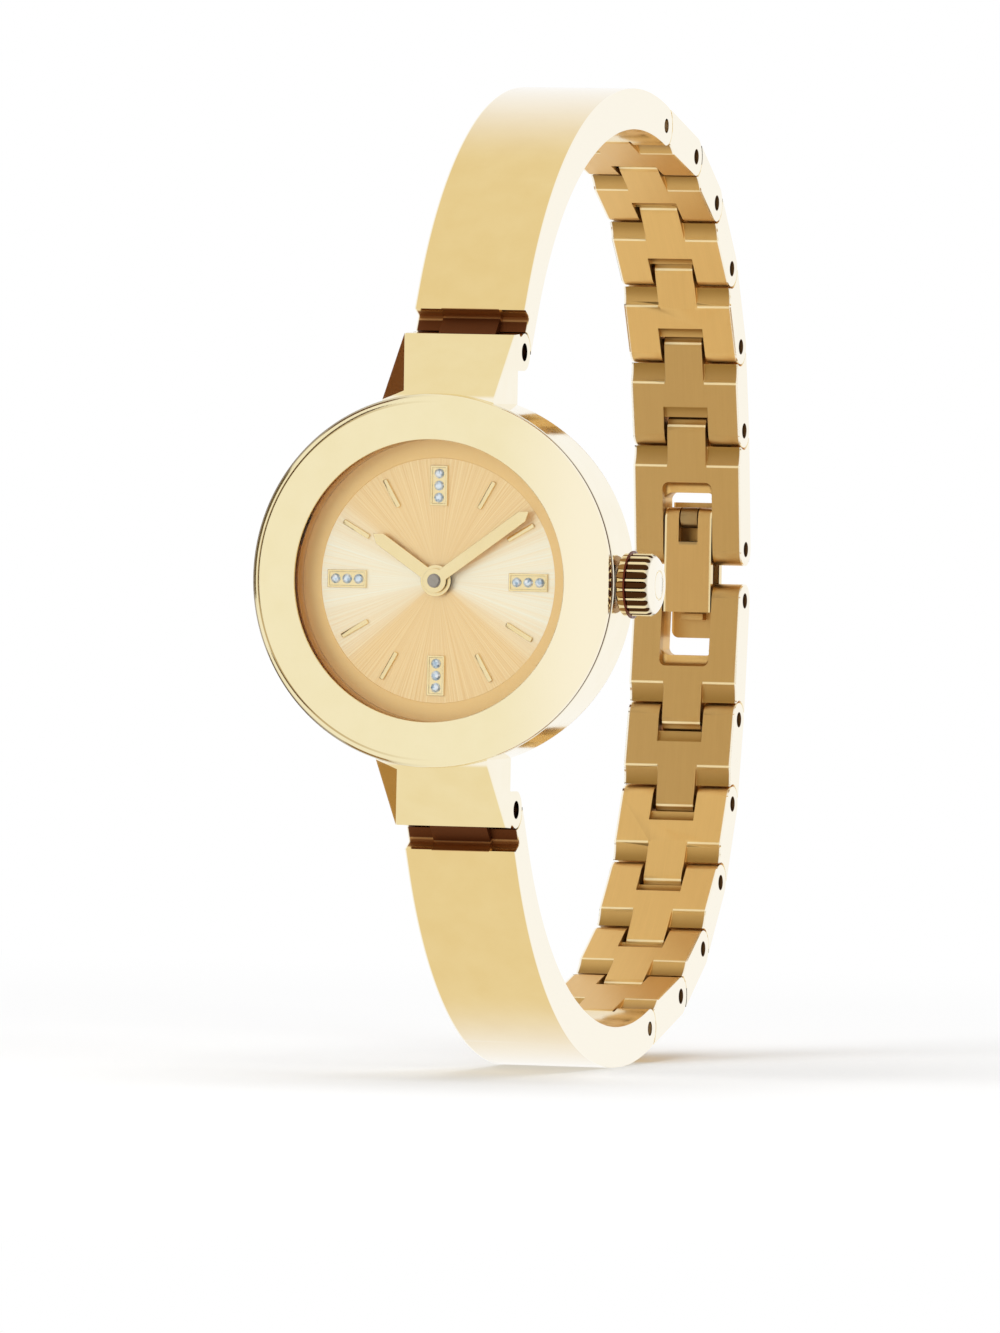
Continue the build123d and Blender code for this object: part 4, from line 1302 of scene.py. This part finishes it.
def thickness_at(share):
    """The bangle swells from its root to the middle and thins again to its end."""
    if share < 0.5:
        return BANGLE_ROOT_THICK + (BANGLE_THICK - BANGLE_ROOT_THICK) * 2 * share
    return BANGLE_THICK + (2 * END_KNUCKLE - BANGLE_THICK) * (2 * share - 1)


def bangle_outline():
    line = bangle_line()
    outer = []
    inner = []
    for index, (place, way) in enumerate(line):
        across = left_of(way) * thickness_at(index / (len(line) - 1)) / 2
        outer.append(tuple(place + across))
        inner.append(tuple(place - across))
    return outer + inner[::-1]


def bangle_groove():
    """A cutter for the groove across the bangle's outer face, next to the lug."""
    out = heading(BANGLE_LEAN)
    across = left_of(out)
    reach, deep = BANGLE_NOTCH
    floor = LUG_PLACE + across * (BANGLE_ROOT_THICK / 2 - deep)
    near = floor - out * reach
    far = floor + out * reach
    rise = across * (2 * deep)
    return side_prism("root_groove", [near, far, far + rise, near + rise], CUT_OVERRUN * BAND_WIDTH)


def make_bangle():
    """Rigid bangle: a bowed bar with a grooved root, a tongue at the lug and a fork at its end."""
    out = heading(BANGLE_LEAN)
    wide = CUT_OVERRUN * BAND_WIDTH
    piece = side_prism("upper_bangle_body", bangle_outline(), BAND_WIDTH)
    weld_on(piece, rod("bangle_ear", PINS[-1], END_KNUCKLE, BAND_WIDTH))
    carve(piece, bangle_groove())
    carve(piece, rod("lug_shoulder", LUG_PLACE, LUG_KNUCKLE + BAND_GAP, wide))
    clean(piece)
    soften(piece, 0.22 * MM, 3, 30)
    inwards = left_of(out) * (BANGLE_ROOT_THICK / 2 - BANGLE_NECK)
    neck_end = LUG_PLACE + out * (BANGLE_NOTCH[0] + BANGLE_NECK) - inwards
    weld_on(piece, capsule("lug_tongue", LUG_PLACE, LUG_KNUCKLE, neck_end, BANGLE_NECK, LUG_TONGUE))
    carve(piece, rod("lug_hole", LUG_PLACE, LUG_PIN_RADIUS + 0.05 * MM, wide))
    carve(piece, rod("end_slot", PINS[-1], END_KNUCKLE + BAND_GAP, BANGLE_SLOT))
    carve(piece, rod("end_hole", PINS[-1], PIN_RADIUS, wide))
    return finish_link(piece)


def clasp_place(outwards, up):
    return Vector((behind(CLASP_DEPTH) + outwards, up))


def clasp_block(name, low, high, width):
    middle = (low + high) / 2
    size = high - low
    return block(name, (0, middle.x, middle.y), (width, size.x, size.y))


def make_blade():
    inner = -CLASP_KNUCKLE
    plate_low = clasp_place(inner, -CLASP_PIN_HEIGHT - BLADE_FOOT)
    plate_high = clasp_place(-BLADE_OUTER, BLADE_TOP)
    piece = clasp_block("blade_plate", plate_low, plate_high, CLASP_WIDTH)
    pin = clasp_place(0, -CLASP_PIN_HEIGHT)
    eye = clasp_place(-EYE_INSET, BLADE_TOP)
    weld_on(piece, rod("foot", pin, BLADE_FOOT, CLASP_WIDTH))
    heel_low = clasp_place((inner - BLADE_OUTER) / 2, plate_low.y)
    weld_on(piece, clasp_block("heel", heel_low, pin, CLASP_WIDTH))
    weld_on(piece, rod("head", eye, EYE_RADIUS, CLASP_WIDTH))
    low = clasp_place(2 * inner, BLADE_TOP + EYE_RADIUS - NOTCH_HEIGHT)
    high = clasp_place(COVER_INNER, BLADE_TOP + 2 * EYE_RADIUS)
    carve(piece, clasp_block("notch", low, high, TAB_WIDTH + 2 * TAB_GAP))
    carve(piece, rod("foot_hole", pin, PIN_RADIUS + 0.05 * MM, 2 * CLASP_WIDTH))
    carve(piece, rod("head_hole", eye, COVER_PIN, 2 * CLASP_WIDTH))
    clean(piece)
    return soften(piece, 0.08 * MM, 2, 35)


def round_edges(piece, axis, width, above=None, below=None):
    """Round the edges that run along Y, above or below a height."""
    edit_all(piece)
    bpy.ops.mesh.select_all(action="DESELECT")
    leave_edit()
    for edge in piece.data.edges:
        ends = [piece.data.vertices[index].co for index in edge.vertices]
        runs = abs(ends[0][axis] - ends[1][axis]) > MM / 10
        high = above is not None and min(end.z for end in ends) > above
        low = below is not None and max(end.z for end in ends) < below
        edge.select = runs and (high or low)
    bpy.ops.object.mode_set(mode="EDIT")
    bpy.ops.mesh.select_mode(type="EDGE")
    bpy.ops.mesh.bevel(offset=width, segments=6)
    leave_edit()


def make_cover():
    outer = COVER_INNER + COVER_THICK
    piece = clasp_block("cover_plate", clasp_place(COVER_INNER, -COVER_BOTTOM), clasp_place(outer, BLADE_TOP + COVER_TOP), CLASP_WIDTH)
    round_edges(piece, 1, 0.5 * MM, below=0)
    eye = clasp_place(-EYE_INSET, BLADE_TOP)
    weld_on(piece, rod("tab_eye", eye, EYE_RADIUS, TAB_WIDTH))
    arm_low = clasp_place(-EYE_INSET, BLADE_TOP - EYE_RADIUS / 2)
    arm_high = clasp_place(COVER_INNER + COVER_THICK / 2, BLADE_TOP + EYE_RADIUS)
    weld_on(piece, clasp_block("tab_arm", arm_low, arm_high, TAB_WIDTH))
    rib_top = -CLASP_PIN_HEIGHT - BLADE_FOOT - LATCH_GAP
    rib_low = clasp_place(COVER_INNER - LATCH_REACH, rib_top - LATCH_THICK)
    rib_high = clasp_place(COVER_INNER + COVER_THICK / 2, rib_top)
    weld_on(piece, clasp_block("latch_rib", rib_low, rib_high, LATCH_WIDTH))
    carve(piece, rod("tab_hole", eye, COVER_PIN + 0.05 * MM, 2 * CLASP_WIDTH))
    clean(piece)
    return soften(piece, 0.1 * MM, 3, 35)


def fit_both(piece, name, slot_name):
    """Fit an upper bracelet piece and its lower twin to their nodes and bodies."""
    twin = lower_copy(piece, "lower_" + name + "_body")
    fit(piece, "upper_" + name, "upper_" + name, slot_name)
    fit(twin, "lower_" + name, "lower_" + name, slot_name)


def make_watch():
    fit(make_bezel(), "bezel", "case", "bezel_gold")
    fit(make_case_middle(), "case_middle", "case", "case_gold")
    fit(make_case_back(), "case_back", "case", "case_gold")
    fit(make_crystal(), "crystal", "case", "sapphire_glass")
    fit(make_inner_ring(), "inner_ring", "case", "inner_ring_gold")
    fit(make_dial(), "dial", "case", "dial_champagne")
    fit(make_markers(), "dial_markers", "case", "marker_gold")
    fit(make_stones(), "marker_stones", "case", "pale_stone")
    fit(make_hand("hour_pointer", *HOUR_HAND, HOUR_BORE), "hour_hand", "hour", "hand_gold")
    fit(make_hand("minute_pointer", *MINUTE_HAND, MINUTE_BORE), "minute_hand", "minute", "hand_gold")
    fit(make_crown(), "crown", "crown", "crown_gold")


def make_bracelet():
    fit_both(make_bangle(), "bangle", "bangle_gold")
    for index in range(1, LINK_COUNT + 1):
        name = "link_%d" % (LINK_COUNT + 1 - index)
        ends = (PINS[index], KNUCKLES[index], PINS[index + 1], KNUCKLES[index + 1])
        link = finish_link(make_link("upper_" + name + "_body", *ends))
        mark_link(link, PINS[index], PINS[index + 1])
        fit_both(link, name, "link_gold")
    fit_both(make_clasp_link(), "clasp_link", "link_gold")
    fit(make_blade(), "clasp_blade", "clasp_blade", "clasp_gold")
    fit(make_cover(), "clasp_cover", "clasp_cover", "clasp_gold")


# studio

CAMERA_TURN = radians(17.5)
CAMERA_RISE = radians(1.1)
CAMERA_ROLL = radians(1.05)
CAMERA_RANGE = 1.1
CAMERA_OFFSET = (-4.788 * MM, 5.711 * MM)
PIXELS_PER_MM = 15.0
PHOTO_HEIGHT = 1333
SENSOR = 36.0


def make_camera():
    across = Vector((cos(CAMERA_TURN), sin(CAMERA_TURN), 0))
    ahead = Vector((-sin(CAMERA_TURN), cos(CAMERA_TURN), 0))
    up = Vector((0, 0, 1))
    view = ahead * cos(CAMERA_RISE) - up * sin(CAMERA_RISE)
    top = ahead * sin(CAMERA_RISE) + up * cos(CAMERA_RISE)
    right = across * cos(CAMERA_ROLL) + top * sin(CAMERA_ROLL)
    top = top * cos(CAMERA_ROLL) - across * sin(CAMERA_ROLL)
    aside, above = CAMERA_OFFSET
    place = -right * aside - top * above - view * CAMERA_RANGE
    place.y -= CASE_DEPTH
    data = bpy.data.cameras.new("photo camera")
    camera = bpy.data.objects.new("photo_camera", data)
    bpy.context.scene.collection.objects.link(camera)
    turn = Matrix((right, top, -view)).transposed()
    camera.matrix_world = Matrix.Translation(place) @ turn.to_4x4()
    data.sensor_width = SENSOR
    focal_pixels = PIXELS_PER_MM / MM * CAMERA_RANGE
    data.lens = focal_pixels * SENSOR / PHOTO_HEIGHT
    data.clip_start = 0.05
    data.clip_end = 20
    bpy.context.scene.camera = camera


def soft_light(name, place, target, width, height, power, tint=(1, 1, 1)):
    data = bpy.data.lights.new(name, "AREA")
    data.shape = "RECTANGLE"
    data.size = width
    data.size_y = height
    data.energy = power
    data.color = tint
    lamp = bpy.data.objects.new(name, data)
    bpy.context.scene.collection.objects.link(lamp)
    lamp.location = place
    way = Vector(target) - Vector(place)
    lamp.rotation_euler = way.to_track_quat("-Z", "Y").to_euler()
    lamp.visible_glossy = False


def dark_card(name, place, width, height, colour, facing=None):
    """A brown card off to the side, which the polished edges and flanks show."""
    finish = Finish(name)
    weave = finish.noise(finish.place(), 0.05, 2.0)
    deeper = tuple(channel * 0.8 for channel in colour)
    finish.set({"Base Color": finish.blend(weave, deeper, colour), "Roughness": 0.9})
    deselect()
    bpy.ops.mesh.primitive_plane_add(size=1)
    card = bpy.context.object
    card.scale = (width, height, 1)
    way = Vector(facing or place)
    card.rotation_euler = way.to_track_quat("Z", "Y").to_euler()
    card.location = place
    card.name = name
    settle(card)
    edit_all(card)
    bpy.ops.mesh.subdivide(number_cuts=1)
    leave_edit()
    card.data.materials.append(finish.material)
    card.visible_camera = False
    card.visible_diffuse = False
    card.visible_shadow = False


def make_floor():
    """Pale floor with the shadow of the watch. Farther off, and in the metal, it is plain white."""
    finish = Finish("pale floor")
    grain = finish.noise(finish.place(), 0.02, 2.0)
    colour = finish.blend(grain, (0.93, 0.93, 0.93), (0.95, 0.95, 0.95))
    finish.set({"Base Color": colour, "Roughness": 0.6, "Specular IOR Level": 0.0})
    spot = finish.node("ShaderNodeVectorMath", {"operation": "LENGTH"}, {0: finish.place()}, "Value")
    far = finish.between(spot, 60.0, 220.0)
    white = finish.node("ShaderNodeEmission", sockets={"Color": (1, 1, 1, 1), "Strength": 1.0})
    floor_face = Wire(finish.tree, finish.shader.outputs["BSDF"])
    mirrored = finish.node("ShaderNodeLightPath", out="Is Glossy Ray")
    share = (far * finish.sight()).math("MAXIMUM", mirrored)
    mixed = finish.node("ShaderNodeMixShader", sockets={0: share, 1: floor_face, 2: white})
    feed(finish.tree, finish.output.inputs["Surface"], mixed)
    finish.material.cycles.emission_sampling = "NONE"
    deselect()
    bpy.ops.mesh.primitive_plane_add(size=6, location=(0, 0, cad_box[0][2]))
    floor = named("floor")
    edit_all(floor)
    bpy.ops.mesh.subdivide(number_cuts=3)
    leave_edit()
    floor.data.materials.append(finish.material)


def make_world():
    """A white room, dimmer as a lamp than it looks."""
    world = bpy.data.worlds.new("studio")
    bpy.context.scene.world = world
    world.use_nodes = True
    room = Graph(world.node_tree)
    shade = room.tree.nodes["Background"]
    feed(room.tree, shade.inputs["Color"], (1, 1, 1, 1))
    feed(room.tree, shade.inputs["Strength"], 0.55 + 0.45 * room.sight())
    world.cycles.sampling_method = "NONE"


def make_studio():
    make_camera()
    make_floor()
    make_world()
    dark_card("flank_card", (-0.25, 0.078, 0.30), 0.14, 0.16, (0.20, 0.07, 0.02))
    dark_card("edge_card", (-0.30, -0.30, 0.10), 0.09, 0.5, (0.10, 0.05, 0.02))
    dark_card("rim_card", (-0.32, 0.50, 0.05), 0.30, 0.26, (0.22, 0.15, 0.07))
    dark_card("left_card", (-0.35, 0.03, 0.06), 0.22, 0.2, (0.16, 0.11, 0.05))
    low = cad_box[0][2] + MM / 10
    up = (0, 0, 1)
    dark_card("low_rim_card", (-0.075, 0.055, low), 0.06, 0.07, (0.22, 0.15, 0.07), up)
    dark_card("low_edge_card", (-0.075, -0.055, low), 0.05, 0.03, (0.12, 0.06, 0.02), up)
    dark_card("low_flank_card", (-0.021, 0.004, low), 0.012, 0.016, (0.50, 0.30, 0.11), up)
    soft_light("front_left", (-0.45, -0.6, 0.35), (0, 0.02, 0), 0.5, 0.7, 3)
    soft_light("front_right", (0.6, -0.35, 0.1), (0, 0.02, 0), 0.35, 0.7, 1.5)
    soft_light("overhead", (0.0, 0.05, 0.8), (0, 0.02, 0), 0.6, 0.6, 2.5)


bpy.context.scene.view_settings.view_transform = "Standard"
dress_cad_nodes()
make_watch()
make_bracelet()
make_studio()
deselect()
